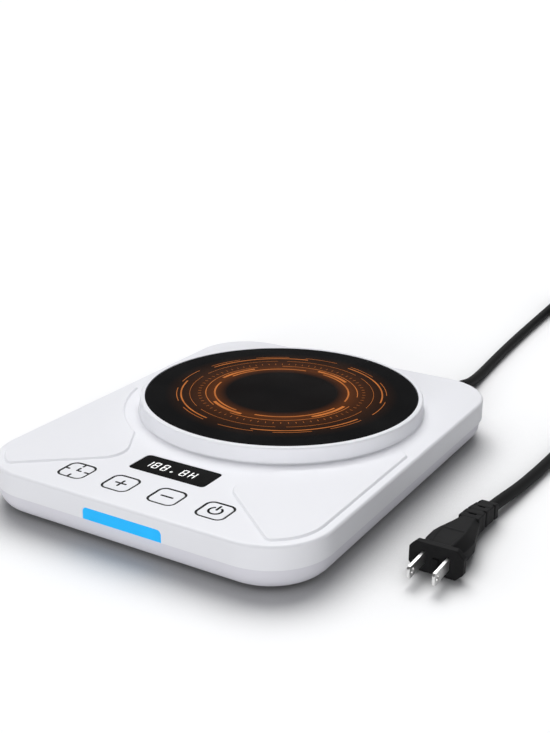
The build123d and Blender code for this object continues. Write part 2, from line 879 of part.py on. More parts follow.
# Heater wires: element to cut-out, cut-out to power board, and power board to element
heater_wire = 2.2
blade_wire_z = cutout_blade_z + cutout_blade_thickness / 2
blade_tip_y = cutout_spot[1] + cutout_blade_reach
inner_tail, outer_tail = element_tails
left_blade, right_blade = [(x, blade_tip_y, blade_wire_z) for x, y in cutout_blade_spots]
board_line_spot = (power_x - 19.0, power_front_y + 11.0)
board_return_spot = (power_x + 9.5, power_y + 10.0)
with BuildPart() as heater_leads:
    tube(
        [
            (*inner_tail, element_bottom_z),
            (*inner_tail, element_bottom_z - 13.0),
            (inner_tail[0] - 5.0, inner_tail[1] + 7.0, blade_wire_z - 5.0),
            (inner_tail[0] - 14.0, inner_tail[1] + 9.5, blade_wire_z - 2.0),
            (right_blade[0], right_blade[1] + 9.0, blade_wire_z),
            right_blade,
        ],
        heater_wire,
    )
    tube(
        [
            left_blade,
            (left_blade[0], left_blade[1] + 10.0, blade_wire_z),
            (board_line_spot[0] - 2.0, board_line_spot[1] - 8.0, power_top_z + 8.0),
            (*board_line_spot, power_top_z + 6.0),
            (*board_line_spot, power_top_z),
        ],
        heater_wire,
    )
    tube(
        [
            (*outer_tail, element_bottom_z),
            (*outer_tail, element_bottom_z - 10.0),
            (*board_return_spot, power_top_z + 6.0),
            (*board_return_spot, power_top_z),
        ],
        heater_wire,
    )
keep(heater_leads, "heater_leads")

sensor_wire = 2.0
sensor_lie_z = floor_z + sensor_wire / 2 + 0.1
sensor_plug_y = control_back_y - 7.0
with BuildPart() as sensor_lead:
    tube(
        [
            (*sensor_spot, sensor_bottom_z),
            (*sensor_spot, sensor_bottom_z - 8.0),
            (sensor_spot[0] + 1.0, ring_y - 10.0, sensor_lie_z + 2.0),
            (sensor_spot[0] + 3.0, ring_y - 32.0, sensor_lie_z),
            (sensor_spot[0] + 1.5, ring_y - 60.0, sensor_lie_z),
            (sensor_spot[0] - 1.0, sensor_plug_y + 18.0, sensor_lie_z + 0.5),
            (sensor_spot[0] - 1.0, sensor_plug_y, control_bottom_z - 7.0),
            (sensor_spot[0] - 1.0, sensor_plug_y, control_bottom_z),
        ],
        sensor_wire,
    )
keep(sensor_lead, "sensor_lead")

# Control board with its switches, display, sounder, chip and the lamps of the light bar
with BuildPart() as control_board:
    with BuildSketch(level(control_bottom_z)):
        with Locations((0, control_y)):
            RectangleRounded(control_width, control_depth, board_corner)
        with Locations(*control_bosses):
            Circle(board_screw_radius + screw_clearance, mode=Mode.SUBTRACT)
    extrude(amount=board_thickness)
keep(control_board, "control_board")

control_screws = screws_from_below(
    control_bosses,
    control_bottom_z,
    board_screw_head,
    board_screw_head_height,
    board_screw_radius,
    board_thickness + board_screw_bite,
)
keep(control_screws, "control_screws")

switch_bore_depth = plunger_depth + key_travel + plunger_floor_gap
with BuildPart() as key_switches:
    with BuildSketch(level(control_top_z)):
        with Locations(*key_spots):
            Rectangle(switch_size, switch_size)
    extrude(amount=switch_height)
    with BuildSketch(level(switch_top_z - switch_bore_depth)):
        with Locations(*key_spots):
            Circle(plunger_radius + plunger_play)
    extrude(amount=switch_bore_depth, mode=Mode.SUBTRACT)
keep(key_switches, "key_switches")

flange_top_z = inner_top_z - key_flange_gap
flange_bottom_z = flange_top_z - key_flange_thickness
flange_size = key_size + 2 * key_flange_width
for name, spot in zip(key_names, key_spots):
    with BuildPart() as switch_plunger:
        with BuildSketch(level(switch_top_z - plunger_depth)):
            with Locations(spot):
                Circle(plunger_radius)
        extrude(amount=plunger_depth + plunger_height)
    keep(switch_plunger, f"switch_plunger_{name}")

    with BuildPart() as key_cap:
        with BuildSketch(level(flange_bottom_z)):
            with Locations(spot):
                RectangleRounded(key_size, key_size, key_corner)
        extrude(amount=top_z - flange_bottom_z)
        fillet(key_cap.faces().sort_by(Axis.Z)[-1].edges(), key_edge_fillet)
        with BuildSketch(level(flange_bottom_z)):
            with Locations(spot):
                RectangleRounded(flange_size, flange_size, key_corner + key_flange_width)
        extrude(amount=key_flange_thickness)
        with BuildSketch(level(flange_bottom_z)):
            with Locations(spot):
                RectangleRounded(key_size - 2 * key_shell, key_size - 2 * key_shell, key_corner - key_shell)
        extrude(amount=top_z - flange_bottom_z - key_shell, mode=Mode.SUBTRACT)
        with BuildSketch(level(plunger_top_z)):
            with Locations(spot):
                Circle(key_stem_radius)
        extrude(amount=top_z - key_shell - plunger_top_z)
    keep(key_cap, f"key_cap_{name}")

key_well_size = key_size + 2 * key_air
with BuildPart() as key_seals:
    with BuildSketch(level(inner_top_z)):
        with Locations(*key_spots):
            RectangleRounded(aperture_size, aperture_size, aperture_corner)
            RectangleRounded(key_well_size, key_well_size, key_corner + key_air, mode=Mode.SUBTRACT)
    extrude(amount=upper_wall)
keep(key_seals, "key_seals")

with BuildPart() as display_window:
    with BuildSketch(level(window_bottom_z)):
        with Locations((0, display_y)):
            RectangleRounded(display_width, display_height, display_corner)
    extrude(amount=window_thickness)
    chamfer(display_window.faces().sort_by(Axis.Z)[-1].edges(), window_chamfer)
keep(display_window, "display_window")

module_top_z = inner_top_z - module_gap
with BuildPart() as display_module:
    with BuildSketch(level(control_top_z)):
        with Locations((0, display_y)):
            Rectangle(display_width - 2 * module_margin, display_height - 2 * module_margin)
    extrude(amount=module_top_z - control_top_z)
    with BuildSketch(level(module_top_z - digit_depth)):
        with Locations((0, display_y)):
            with GridLocations(digit_pitch, 0, digit_count, 1):
                Rectangle(digit_width, digit_height)
                Rectangle(digit_width - 2 * digit_stroke, digit_height - 2 * digit_stroke, mode=Mode.SUBTRACT)
    extrude(amount=digit_depth, mode=Mode.SUBTRACT)
keep(display_module, "display_module")

with BuildPart() as control_chip:
    with BuildSketch(level(control_top_z)):
        with Locations((chip_x, control_back_y - chip_from_back)):
            Rectangle(chip_length, chip_width)
    extrude(amount=chip_height)
    with BuildSketch(level(control_top_z)):
        with Locations((chip_x, control_back_y - chip_from_back)):
            with GridLocations(chip_leg_pitch, chip_width + chip_leg_reach / 2, chip_leg_count, 2):
                Rectangle(chip_leg_width, chip_leg_reach)
    extrude(amount=chip_leg_height)
keep(control_chip, "control_chip")

with BuildPart() as sounder:
    with BuildSketch(level(control_top_z)):
        with Locations((sounder_x, control_back_y - sounder_from_back)):
            Circle(sounder_radius)
            Circle(sounder_hole, mode=Mode.SUBTRACT)
    extrude(amount=sounder_height)
keep(sounder, "sounder")

with BuildPart() as bar_lamps:
    with BuildSketch(level(control_top_z)):
        with Locations((bar_x, control_front_y + lamp_depth / 2)):
            with GridLocations(lamp_pitch, 0, lamp_count, 1):
                Rectangle(lamp_width, lamp_depth)
    extrude(amount=lamp_height)
keep(bar_lamps, "bar_lamps")

# Light bar: its face fills the slot in the front wall, and its guide runs back to the lamps
guide_front_y = inner_front_y + bar_flange_thickness
with BuildPart() as light_bar:
    with BuildSketch(across(bar_x, front_y, parting_z + bar_height / 2)) as face:
        Rectangle(bar_width, bar_height)
        fillet(face.vertices().group_by(Axis.Y)[-1], bar_corner)
    extrude(amount=-upper_wall)
    with BuildSketch(across(bar_x, inner_front_y, parting_z + (bar_height + bar_flange) / 2)):
        Rectangle(bar_width + 2 * bar_flange, bar_height + bar_flange)
    extrude(amount=-bar_flange_thickness)
    with BuildSketch(across(bar_x, guide_front_y, control_top_z + lamp_height / 2)):
        Rectangle(bar_width - 2 * guide_side, guide_height)
    extrude(amount=guide_front_y + guide_gap - control_front_y)
keep(light_bar, "light_bar")

# Power board with its parts
with BuildPart() as power_board:
    with BuildSketch(level(power_bottom_z)):
        with Locations((power_x, power_y)):
            RectangleRounded(power_width, power_depth, board_corner)
        with Locations(*power_posts):
            Circle(board_screw_radius + screw_clearance, mode=Mode.SUBTRACT)
    extrude(amount=board_thickness)
keep(power_board, "power_board")

power_screws = screws_from_above(power_posts, power_top_z, board_thickness + power_post_height)
keep(power_screws, "power_screws")

with BuildPart() as supply_transformer:
    with BuildSketch(level(power_top_z)):
        with Locations(on_power_board(transformer_at)):
            Rectangle(transformer_core[0], transformer_core[1])
    extrude(amount=transformer_core[2])
    with BuildSketch(level(power_top_z + transformer_coil_lift)):
        with Locations(on_power_board(transformer_at)):
            Rectangle(transformer_coil[0], transformer_coil[1])
    extrude(amount=transformer_coil[2])
keep(supply_transformer, "supply_transformer")

block("power_relay", on_power_board(relay_at), relay_size, relay_corner)
block("filter_capacitor", on_power_board(filter_at), filter_size, filter_corner)

with BuildPart() as smoothing_capacitors:
    with BuildSketch(level(power_top_z)):
        with Locations(*[on_power_board(at) for at in smoothing_at]):
            Circle(smoothing_radius)
    extrude(amount=smoothing_height)
    fillet(smoothing_capacitors.faces().sort_by(Axis.Z)[-2:].edges(), smoothing_fillet)
keep(smoothing_capacitors, "smoothing_capacitors")

with BuildPart() as fuse:
    with BuildSketch(level(power_top_z)):
        with Locations(on_power_board(fuse_at)):
            Circle(fuse_radius)
    extrude(amount=fuse_height)
keep(fuse, "fuse")

terminal_spot = on_power_board(terminal_at)
terminal_ys = [terminal_spot[1] + side * terminal_pitch / 2 for side in (-1, 1)]
with BuildPart() as mains_terminals:
    with BuildSketch(level(power_top_z)):
        with Locations(terminal_spot):
            Rectangle(terminal_width, terminal_length)
    extrude(amount=terminal_height)
    with BuildSketch(level(power_top_z + terminal_height - terminal_screw_depth)):
        with Locations(*[(terminal_spot[0], y) for y in terminal_ys]):
            Circle(terminal_screw_radius)
    extrude(amount=terminal_screw_depth, mode=Mode.SUBTRACT)
keep(mains_terminals, "mains_terminals")

# Ribbon between the two boards, lying on the tray's floor
ribbon_x = -43.0
ribbon_width = 12.0
ribbon_thickness = 0.9
ribbon_lie_z = floor_z + ribbon_thickness / 2 + 0.1
ribbon_start_y = control_back_y - 4.0
ribbon_end_y = power_front_y + 9.0
ribbon_points = [
    (ribbon_x, ribbon_start_y, control_bottom_z),
    (ribbon_x, ribbon_start_y, control_bottom_z - 6.0),
    (ribbon_x, ribbon_start_y + 12.0, ribbon_lie_z),
    (ribbon_x, ribbon_start_y + 40.0, ribbon_lie_z + 0.6),
    (ribbon_x, ribbon_start_y + 78.0, ribbon_lie_z),
    (ribbon_x, power_front_y - 12.0, ribbon_lie_z + 1.0),
    (ribbon_x, power_front_y - 2.0, power_top_z + 5.0),
    (ribbon_x, ribbon_end_y, power_top_z + 5.5),
    (ribbon_x, ribbon_end_y, power_top_z),
]
with BuildPart() as ribbon_cable:
    with BuildLine() as ribbon_path:
        FilletPolyline(*ribbon_points, radius=corner_radii(ribbon_points))
    with BuildSketch(Plane(origin=ribbon_points[0], x_dir=(1, 0, 0), z_dir=(0, 0, -1))):
        Rectangle(ribbon_width, ribbon_thickness)
    sweep(path=ribbon_path.wires()[0])
keep(ribbon_cable, "ribbon_cable")

# Cord entry: moulded strain relief in the tray's back wall, the cord's tail under its clamp,
# and its two cores to the terminals
relief_start_y = entry_y + relief_flange
relief_tip_y = relief_start_y + relief_length
relief_inner_y = entry_y - lower_wall - relief_flange
rib_pitch = relief_length / relief_rib_count
rib_step = (relief_base_radius - relief_tip_radius) / (relief_rib_count - 1)
with BuildPart() as cord_strain_relief:
    with BuildSketch(across(cord_x, relief_inner_y, cord_z)):
        SlotOverall(relief_flange_width, relief_flange_height)
    extrude(amount=-relief_flange)
    with BuildSketch(across(cord_x, relief_inner_y + relief_flange, cord_z)):
        SlotOverall(relief_neck_width, relief_neck_height)
    extrude(amount=-lower_wall)
    with BuildSketch(across(cord_x, entry_y, cord_z)):
        SlotOverall(relief_flange_width, relief_flange_height)
    extrude(amount=-relief_flange)
    for i in range(relief_rib_count):
        with BuildSketch(across(cord_x, relief_start_y + i * rib_pitch, cord_z)):
            Circle(relief_base_radius - i * rib_step - relief_groove)
        extrude(amount=-rib_pitch)
        with BuildSketch(across(cord_x, relief_start_y + (i + relief_rib_share) * rib_pitch, cord_z)):
            Circle(relief_base_radius - i * rib_step)
        extrude(amount=-(1 - relief_rib_share) * rib_pitch)
keep(cord_strain_relief, "cord_strain_relief")

tail_end_y = relief_inner_y - tail_length
with BuildPart() as cord_tail:
    with BuildSketch(across(cord_x, relief_inner_y, cord_z)):
        Circle(cord_diameter / 2)
    extrude(amount=tail_length)
keep(cord_tail, "cord_tail")

terminal_wire_z = power_top_z + terminal_wire_lift
with BuildPart() as mains_leads:
    for side, y in zip((1, -1), terminal_ys):
        core_x = cord_x + side * core_spacing / 2
        tube(
            [
                (core_x, tail_end_y, cord_z),
                (core_x, y + 5.0, cord_z),
                (cord_x - 11.0, y, terminal_wire_z),
                (terminal_spot[0] + terminal_width / 2, y, terminal_wire_z),
            ],
            core_diameter,
        )
keep(mains_leads, "mains_leads")

with BuildPart() as cord_clamp:
    with BuildSketch(level(clamp_z)):
        with Locations((cord_x, clamp_y)):
            RectangleRounded(clamp_length, clamp_width, clamp_corner)
        with Locations(*clamp_posts):
            Circle(board_screw_radius + screw_clearance, mode=Mode.SUBTRACT)
    extrude(amount=clamp_thickness)
    with BuildSketch(across(cord_x, clamp_y + clamp_width / 2, cord_z)):
        Circle(cord_diameter / 2 + screw_clearance)
    extrude(amount=clamp_width, mode=Mode.SUBTRACT)
keep(cord_clamp, "cord_clamp")

clamp_screws = screws_from_above(clamp_posts, clamp_z + clamp_thickness, clamp_thickness + clamp_post_height)
keep(clamp_screws, "clamp_screws")

casing_screws = screws_from_below(
    casing_screw_points,
    screw_seat_z,
    casing_screw_head,
    casing_screw_head_height,
    casing_screw_radius,
    joint_z + casing_screw_bite - screw_seat_z,
)
keep(casing_screws, "casing_screws")

foot_names = ("foot_front_left", "foot_back_left", "foot_front_right", "foot_back_right")
for name, spot in zip(foot_names, foot_points):
    with BuildPart() as foot:
        with BuildSketch(level(0)):
            with Locations(spot):
                Circle(foot_radius)
        extrude(amount=foot_height + foot_recess)
        chamfer(foot.faces().sort_by(Axis.Z)[0].edges(), foot_chamfer)
    keep(foot, name)

# Cord on the floor: from the strain relief to the back, a coil in two layers held by a tie,
# and forward again to the plug
coil_lay = cord_diameter / 2 + tie_thickness + tie_clearance
coil_start = (coil_x - coil_radius, coil_y, coil_lay)
coil_end = (coil_x + coil_radius, coil_y, coil_lay + coil_pitch)
rear_points = [
    (cord_x, relief_tip_y, cord_z),
    (cord_x, relief_tip_y + 11.0, cord_z),
    (61.2, 182.0, 5.2),
    (60.4, 206.0, cord_lay),
    (58.4, 243.0, cord_lay),
    (56.0, 290.0, cord_lay),
    (54.1, 338.0, cord_lay),
    (52.2, 380.0, cord_lay),
    (coil_start[0], coil_y - 18.0, coil_lay),
    coil_start,
]
with BuildPart() as power_cord_rear:
    rear_length = tube(rear_points, cord_diameter)
print_tube("rear stretch", power_cord_rear, rear_length, cord_diameter, rear_points)
keep(power_cord_rear, "power_cord_rear")

# The coil's half turns join points on its left and right: inwards, up a layer, and outwards again
coil_radii = [coil_radius - coil_pitch / 2 * i for i in range(coil_half_turns)]
coil_radii.append(coil_radius - coil_pitch / 2 * coil_half_turns - coil_climb_inset)
coil_stations = [(radius, 0) for radius in coil_radii] + [(radius, 1) for radius in reversed(coil_radii)]
coil_points = [
    Vector(coil_x - (-1) ** i * radius, coil_y, coil_lay + coil_pitch * layer)
    for i, (radius, layer) in enumerate(coil_stations)
]


def half_turn(start, end, heading):
    """Two tangent quarter arcs from start to end, leaving along heading and arriving against it."""
    reach = (end - start).length / 2
    middle = (start + end) / 2 + heading * reach
    TangentArc(start, middle, tangent=heading)
    TangentArc(middle, end, tangent=end - start)


with BuildPart() as power_cord_coil:
    with BuildLine() as coil_path:
        for i, (start, end) in enumerate(zip(coil_points, coil_points[1:])):
            half_turn(start, end, Vector(0, (-1) ** i, 0))
    with BuildSketch(Plane(origin=coil_points[0], x_dir=(1, 0, 0), z_dir=(0, 1, 0))):
        Circle(cord_diameter / 2)
    sweep(path=coil_path.wires()[0])
keep(power_cord_coil, "power_cord_coil")

coil_wire = coil_path.wires()[0]
coil_steps = 700
coil_samples = [coil_wire.position_at(i / coil_steps) for i in range(coil_steps + 1)]
apart = math.ceil(coil_steps * 2 * cord_diameter / coil_wire.length)
least = min(
    (coil_samples[i] - coil_samples[j]).length
    for i in range(coil_steps + 1)
    for j in range(i + apart, coil_steps + 1)
)
coil_ratio = power_cord_coil.part.volume / (math.pi * cord_diameter**2 / 4 * coil_wire.length)
print(f"coil: length {coil_wire.length:.1f}, volume ratio {coil_ratio:.4f}")
print(f"coil: least gap to itself {least - cord_diameter:.2f}")

outer_row = (coil_radii[0] + coil_radii[1]) / 2
inner_row = (coil_radii[-2] + coil_radii[-1]) / 2
tie_y = coil_y + (outer_row + inner_row) / 2
tie_z = coil_lay + coil_pitch / 2
tie_inner_y = outer_row - inner_row + cord_diameter + 2 * tie_clearance
tie_inner_z = coil_pitch + cord_diameter + 2 * tie_clearance
tie_corner = cord_diameter / 2 + tie_clearance
tie_section = Plane(origin=(coil_x - tie_width / 2, tie_y, tie_z), x_dir=(0, 1, 0), z_dir=(1, 0, 0))
with BuildPart() as cord_tie:
    with BuildSketch(tie_section):
        RectangleRounded(tie_inner_y, tie_inner_z, tie_corner)
        offset(amount=tie_thickness)
        RectangleRounded(tie_inner_y, tie_inner_z, tie_corner, mode=Mode.SUBTRACT)
    extrude(amount=tie_width)
keep(cord_tie, "cord_tie")

grip_front_y = plug_front + plug_flange_depth
plug_back = grip_front_y + grip_length
plug_tip = plug_back + segment_count * segment_pitch
front_points = [
    coil_end,
    (coil_end[0], coil_y - 14.0, coil_end[2]),
    (142.3, 388.0, 9.0),
    (144.2, 358.0, 4.8),
    (147.6, 320.0, cord_lay),
    (150.6, 272.0, cord_lay),
    (152.4, 221.0, cord_lay),
    (152.0, 171.0, cord_lay),
    (150.2, 124.0, cord_lay),
    (147.8, 84.0, cord_lay),
    (144.2, 52.0, 3.6),
    (142.5, 33.0, 6.0),
    (plug_x, plug_tip + 13.0, plug_z),
    (plug_x, plug_tip, plug_z),
]
with BuildPart() as power_cord_front:
    front_length = tube(front_points, cord_diameter)
print_tube("front stretch", power_cord_front, front_length, cord_diameter, front_points)
keep(power_cord_front, "power_cord_front")
print(f"cord from relief to plug {rear_length + coil_wire.length + front_length:.0f}")

# Plug: moulded flange and grip that narrows to a segmented strain relief, with two flat blades
blade_xs = [side * blade_spacing / 2 for side in (-1, 1)]


def cut_corners(width, height, cut):
    """A rectangle with its corners cut off, in the sketch that is open."""
    half_width = width / 2
    half_height = height / 2
    Polygon(
        (half_width, cut - half_height),
        (half_width, half_height - cut),
        (half_width - cut, half_height),
        (cut - half_width, half_height),
        (-half_width, half_height - cut),
        (-half_width, cut - half_height),
        (cut - half_width, -half_height),
        (half_width - cut, -half_height),
        align=None,
    )


with BuildPart() as plug_body:
    with BuildSketch(across(plug_x, plug_front, plug_z)):
        cut_corners(plug_flange_width, plug_flange_height, plug_flange_cut)
    extrude(amount=-plug_flange_depth)
    fillet(plug_body.edges().filter_by(Axis.Y), plug_flange_fillet)
    for reach, width in (
        (0, grip_front_width),
        (grip_shoulder, grip_shoulder_width),
        (grip_slope, grip_slope_width),
        (grip_length, grip_back_width),
    ):
        with BuildSketch(across(plug_x, grip_front_y + reach, plug_z)):
            height = grip_flatness * (grip_back_width + (width - grip_back_width) / 2)
            cut_corners(width, height, facet_share * height)
    loft(ruled=True)
    for i in range(segment_count):
        segment_y = plug_back + i * segment_pitch
        segment_width = grip_back_width - segment_step * i
        for y, width in (
            (segment_y + segment_groove, segment_width),
            (segment_y + segment_pitch, segment_width - segment_taper),
        ):
            with BuildSketch(across(plug_x, y, plug_z)):
                cut_corners(width, segment_flatness * width, facet_share * width)
        loft(ruled=True)
    with BuildSketch(across(plug_x, plug_back, plug_z)):
        Circle(cord_diameter / 2 + neck_wall)
    extrude(amount=-segment_count * segment_pitch)
    with BuildSketch(across(plug_x, plug_front, plug_z)):
        with Locations(*[(x, 0) for x in blade_xs]):
            Rectangle(blade_thickness, blade_width)
    extrude(amount=-blade_root, mode=Mode.SUBTRACT)
keep(plug_body, "plug_body")

with BuildPart() as plug_blades:
    with BuildSketch(across(plug_x, plug_front + blade_root, plug_z)):
        with Locations(*[(x, 0) for x in blade_xs]):
            Rectangle(blade_thickness, blade_width)
    extrude(amount=blade_root + blade_length)
    tips = plug_blades.faces().sort_by(Axis.Y)[0:2]
    chamfer(tips.edges().filter_by(Axis.X), blade_tip_chamfer)
    tips = plug_blades.faces().sort_by(Axis.Y)[0:2]
    chamfer(tips.edges().filter_by(Axis.Z), blade_edge_chamfer)
    hole_y = plug_front - blade_length + blade_hole_from_tip
    hole_start = (plug_x - blade_spacing, hole_y, plug_z)
    with BuildSketch(Plane(origin=hole_start, x_dir=(0, 1, 0), z_dir=(1, 0, 0))):
        Circle(blade_hole_radius)
    extrude(amount=2 * blade_spacing, mode=Mode.SUBTRACT)
keep(plug_blades, "plug_blades")
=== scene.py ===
import math

import bmesh
import bpy
from mathutils import Matrix, Vector


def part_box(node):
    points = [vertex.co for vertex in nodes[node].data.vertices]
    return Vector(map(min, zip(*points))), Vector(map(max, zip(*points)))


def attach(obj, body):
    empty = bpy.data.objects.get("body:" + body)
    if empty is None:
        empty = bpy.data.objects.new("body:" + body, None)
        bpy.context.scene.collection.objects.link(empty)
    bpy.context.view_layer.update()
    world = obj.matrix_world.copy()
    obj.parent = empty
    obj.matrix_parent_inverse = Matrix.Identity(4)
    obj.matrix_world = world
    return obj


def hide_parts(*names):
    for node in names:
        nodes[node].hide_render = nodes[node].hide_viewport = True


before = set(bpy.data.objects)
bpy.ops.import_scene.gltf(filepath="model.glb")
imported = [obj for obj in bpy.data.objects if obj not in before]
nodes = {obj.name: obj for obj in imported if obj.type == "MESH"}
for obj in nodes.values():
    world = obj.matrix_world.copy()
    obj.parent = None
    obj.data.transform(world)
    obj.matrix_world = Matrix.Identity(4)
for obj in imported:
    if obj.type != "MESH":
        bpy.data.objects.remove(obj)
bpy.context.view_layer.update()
scene = bpy.context.scene
scene.view_settings.view_transform = "Standard"
mm = 0.001
printSink = 0.01  # how far a print starts below its surface, in mm
noiseSpan = (0.3, 0.7)  # between which most of a noise texture's values lie
print("frame loaded:", len(nodes), "nodes")


# Helpers for meshes, which are drawn in millimetres
def finishPiece(name, bm, body, material, smooth=True):
    bmesh.ops.scale(bm, vec=(mm, mm, mm), verts=bm.verts[:])
    bmesh.ops.recalc_face_normals(bm, faces=bm.faces[:])
    mesh = bpy.data.meshes.new(name)
    bm.to_mesh(mesh)
    bm.free()
    mesh.materials.append(material)
    for face in mesh.polygons:
        face.use_smooth = smooth
    piece = bpy.data.objects.new(name, mesh)
    scene.collection.objects.link(piece)
    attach(piece, body)
    if smooth:
        piece.modifiers.new("keepFlats", "WEIGHTED_NORMAL")
    return piece


def bevelShape(bm, geom, width, affect="EDGES", segments=3):
    return bmesh.ops.bevel(
        bm,
        geom=geom,
        offset=width,
        offset_type="OFFSET",
        affect=affect,
        segments=segments,
        profile=0.5,
        material=-1,
    )


def roundedBlock(bm, middle, size, radius, taper=1.0):
    # a block with rounded edges, its back end taper times the front's size
    verts = bmesh.ops.create_cube(bm, size=1.0)["verts"]
    back = [vert for vert in verts if vert.co.y > 0]
    bmesh.ops.scale(bm, vec=(taper, 1, taper), verts=back)
    bmesh.ops.scale(bm, vec=size, verts=verts)
    bmesh.ops.translate(bm, vec=middle, verts=verts)
    bevelShape(bm, list({edge for vert in verts for edge in vert.link_edges}), radius)


def layAlongY(bm, verts, place):
    # what stands along Z, front down, is laid along Y with its front at a place
    turn = Matrix.Rotation(math.radians(-90), 4, "X")
    bmesh.ops.transform(bm, matrix=Matrix.Translation(place) @ turn, verts=verts)


def printBar(bm, start, end, width, level, segments=12):
    # a printed bar between two points: round ends, pointed with 6 segments, square with 4
    start, end = Vector(start), Vector(end)
    along = end - start
    radius = width / 2 / math.cos(math.pi / segments)
    ring = bmesh.ops.create_circle(bm, cap_ends=True, radius=radius, segments=segments)["verts"]
    if segments % 4 == 0:
        bmesh.ops.rotate(bm, matrix=Matrix.Rotation(math.pi / segments, 3, "Z"), verts=ring)
    farHalf = [vert for vert in ring if vert.co.x > 1e-6]
    bmesh.ops.translate(bm, vec=(along.length, 0, 0), verts=farHalf)
    turn = Matrix.Rotation(math.atan2(along.y, along.x), 4, "Z")
    place = Matrix.Translation((start.x, start.y, level[0]))
    bmesh.ops.transform(bm, matrix=place @ turn, verts=ring)
    flat = next(face for face in ring[0].link_faces if len(face.verts) == segments)
    lifted = bmesh.ops.extrude_face_region(bm, geom=[flat], use_keep_orig=True)["geom"]
    lifted = [item for item in lifted if isinstance(item, bmesh.types.BMVert)]
    bmesh.ops.translate(bm, vec=(0, 0, level[1] - level[0]), verts=lifted)


def printLevel(top, lift):
    # heights in mm at which a print on a surface starts and ends
    return (top - printSink, top + lift)


def printArc(bm, middle, radius, width, firstAngle, sweep, level, step=3):
    # a printed arc: its small cross-section is spun about the middle in steps of a few degrees
    turn = Matrix.Rotation(math.radians(firstAngle), 4, "Z")
    place = Matrix.Translation((middle[0], middle[1], 0)) @ turn
    section = bmesh.ops.create_grid(bm, x_segments=1, y_segments=1, size=0.5)["verts"]
    bmesh.ops.scale(bm, vec=(width, level[1] - level[0], 1), verts=section)
    bmesh.ops.rotate(bm, matrix=Matrix.Rotation(math.radians(90), 3, "X"), verts=section)
    bmesh.ops.translate(bm, vec=(radius, 0, (level[0] + level[1]) / 2), verts=section)
    bmesh.ops.transform(bm, matrix=place, verts=section)
    edges = list({edge for vert in section for edge in vert.link_edges})
    bmesh.ops.delete(bm, geom=section[0].link_faces[:], context="FACES_ONLY")
    whole = sweep >= 360
    bmesh.ops.spin(
        bm,
        geom=edges,
        cent=(middle[0], middle[1], 0),
        axis=(0, 0, 1),
        angle=math.radians(sweep),
        steps=max(2, round(sweep / step)),
        use_merge=whole,
    )
    if not whole:
        bmesh.ops.holes_fill(bm, edges=[edge for edge in bm.edges if edge.is_boundary], sides=4)


# Helpers for materials
def newMaterial(name, color, roughness, metallic=0.0, specular=0.5):
    material = bpy.data.materials.new(name)
    material.use_nodes = True
    shader = material.node_tree.nodes["Principled BSDF"]
    shader.inputs["Base Color"].default_value = (*color, 1)
    shader.inputs["Roughness"].default_value = roughness
    shader.inputs["Metallic"].default_value = metallic
    shader.inputs["Specular IOR Level"].default_value = specular
    return material


def addNode(tree, kind, values=None, **links):
    # a node with plain values, and sources linked to its inputs by name
    node = tree.nodes.new(kind)
    for key, value in (values or {}).items():
        if key in node.inputs:
            node.inputs[key].default_value = value
        else:
            setattr(node, key, value)
    for key, source in links.items():
        tree.links.new(source, node.inputs[key.replace("_", " ")])
    return node


def mathNode(tree, operation, *values):
    node = tree.nodes.new("ShaderNodeMath")
    node.operation = operation
    for socket, value in zip(node.inputs, values):
        if isinstance(value, (int, float)):
            socket.default_value = value
        else:
            tree.links.new(value, socket)
    return node.outputs[0]


def newGroup(name, inputs, outputs):
    # an empty node group, the sockets it is given and those of its result
    group = bpy.data.node_groups.new(name, "ShaderNodeTree")
    for socketName, kind, value in inputs:
        socket = group.interface.new_socket(socketName, in_out="INPUT", socket_type=kind)
        socket.default_value = value
    for socketName, kind in outputs:
        group.interface.new_socket(socketName, in_out="OUTPUT", socket_type=kind)
    given = group.nodes.new("NodeGroupInput").outputs
    return group, given, group.nodes.new("NodeGroupOutput").inputs


# Moulded plastic and rubber: slow changes of tone, fine grain, faint rubbed streaks
skin = {
    "slowScale": 14.0,
    "slowRoughness": 0.08,
    "streakScale": (60.0, 900.0, 300.0),
    "streakShare": (0.62, 0.78),  # values of the noise at which a streak starts and is full
    "grainHeight": 0.0002,
}


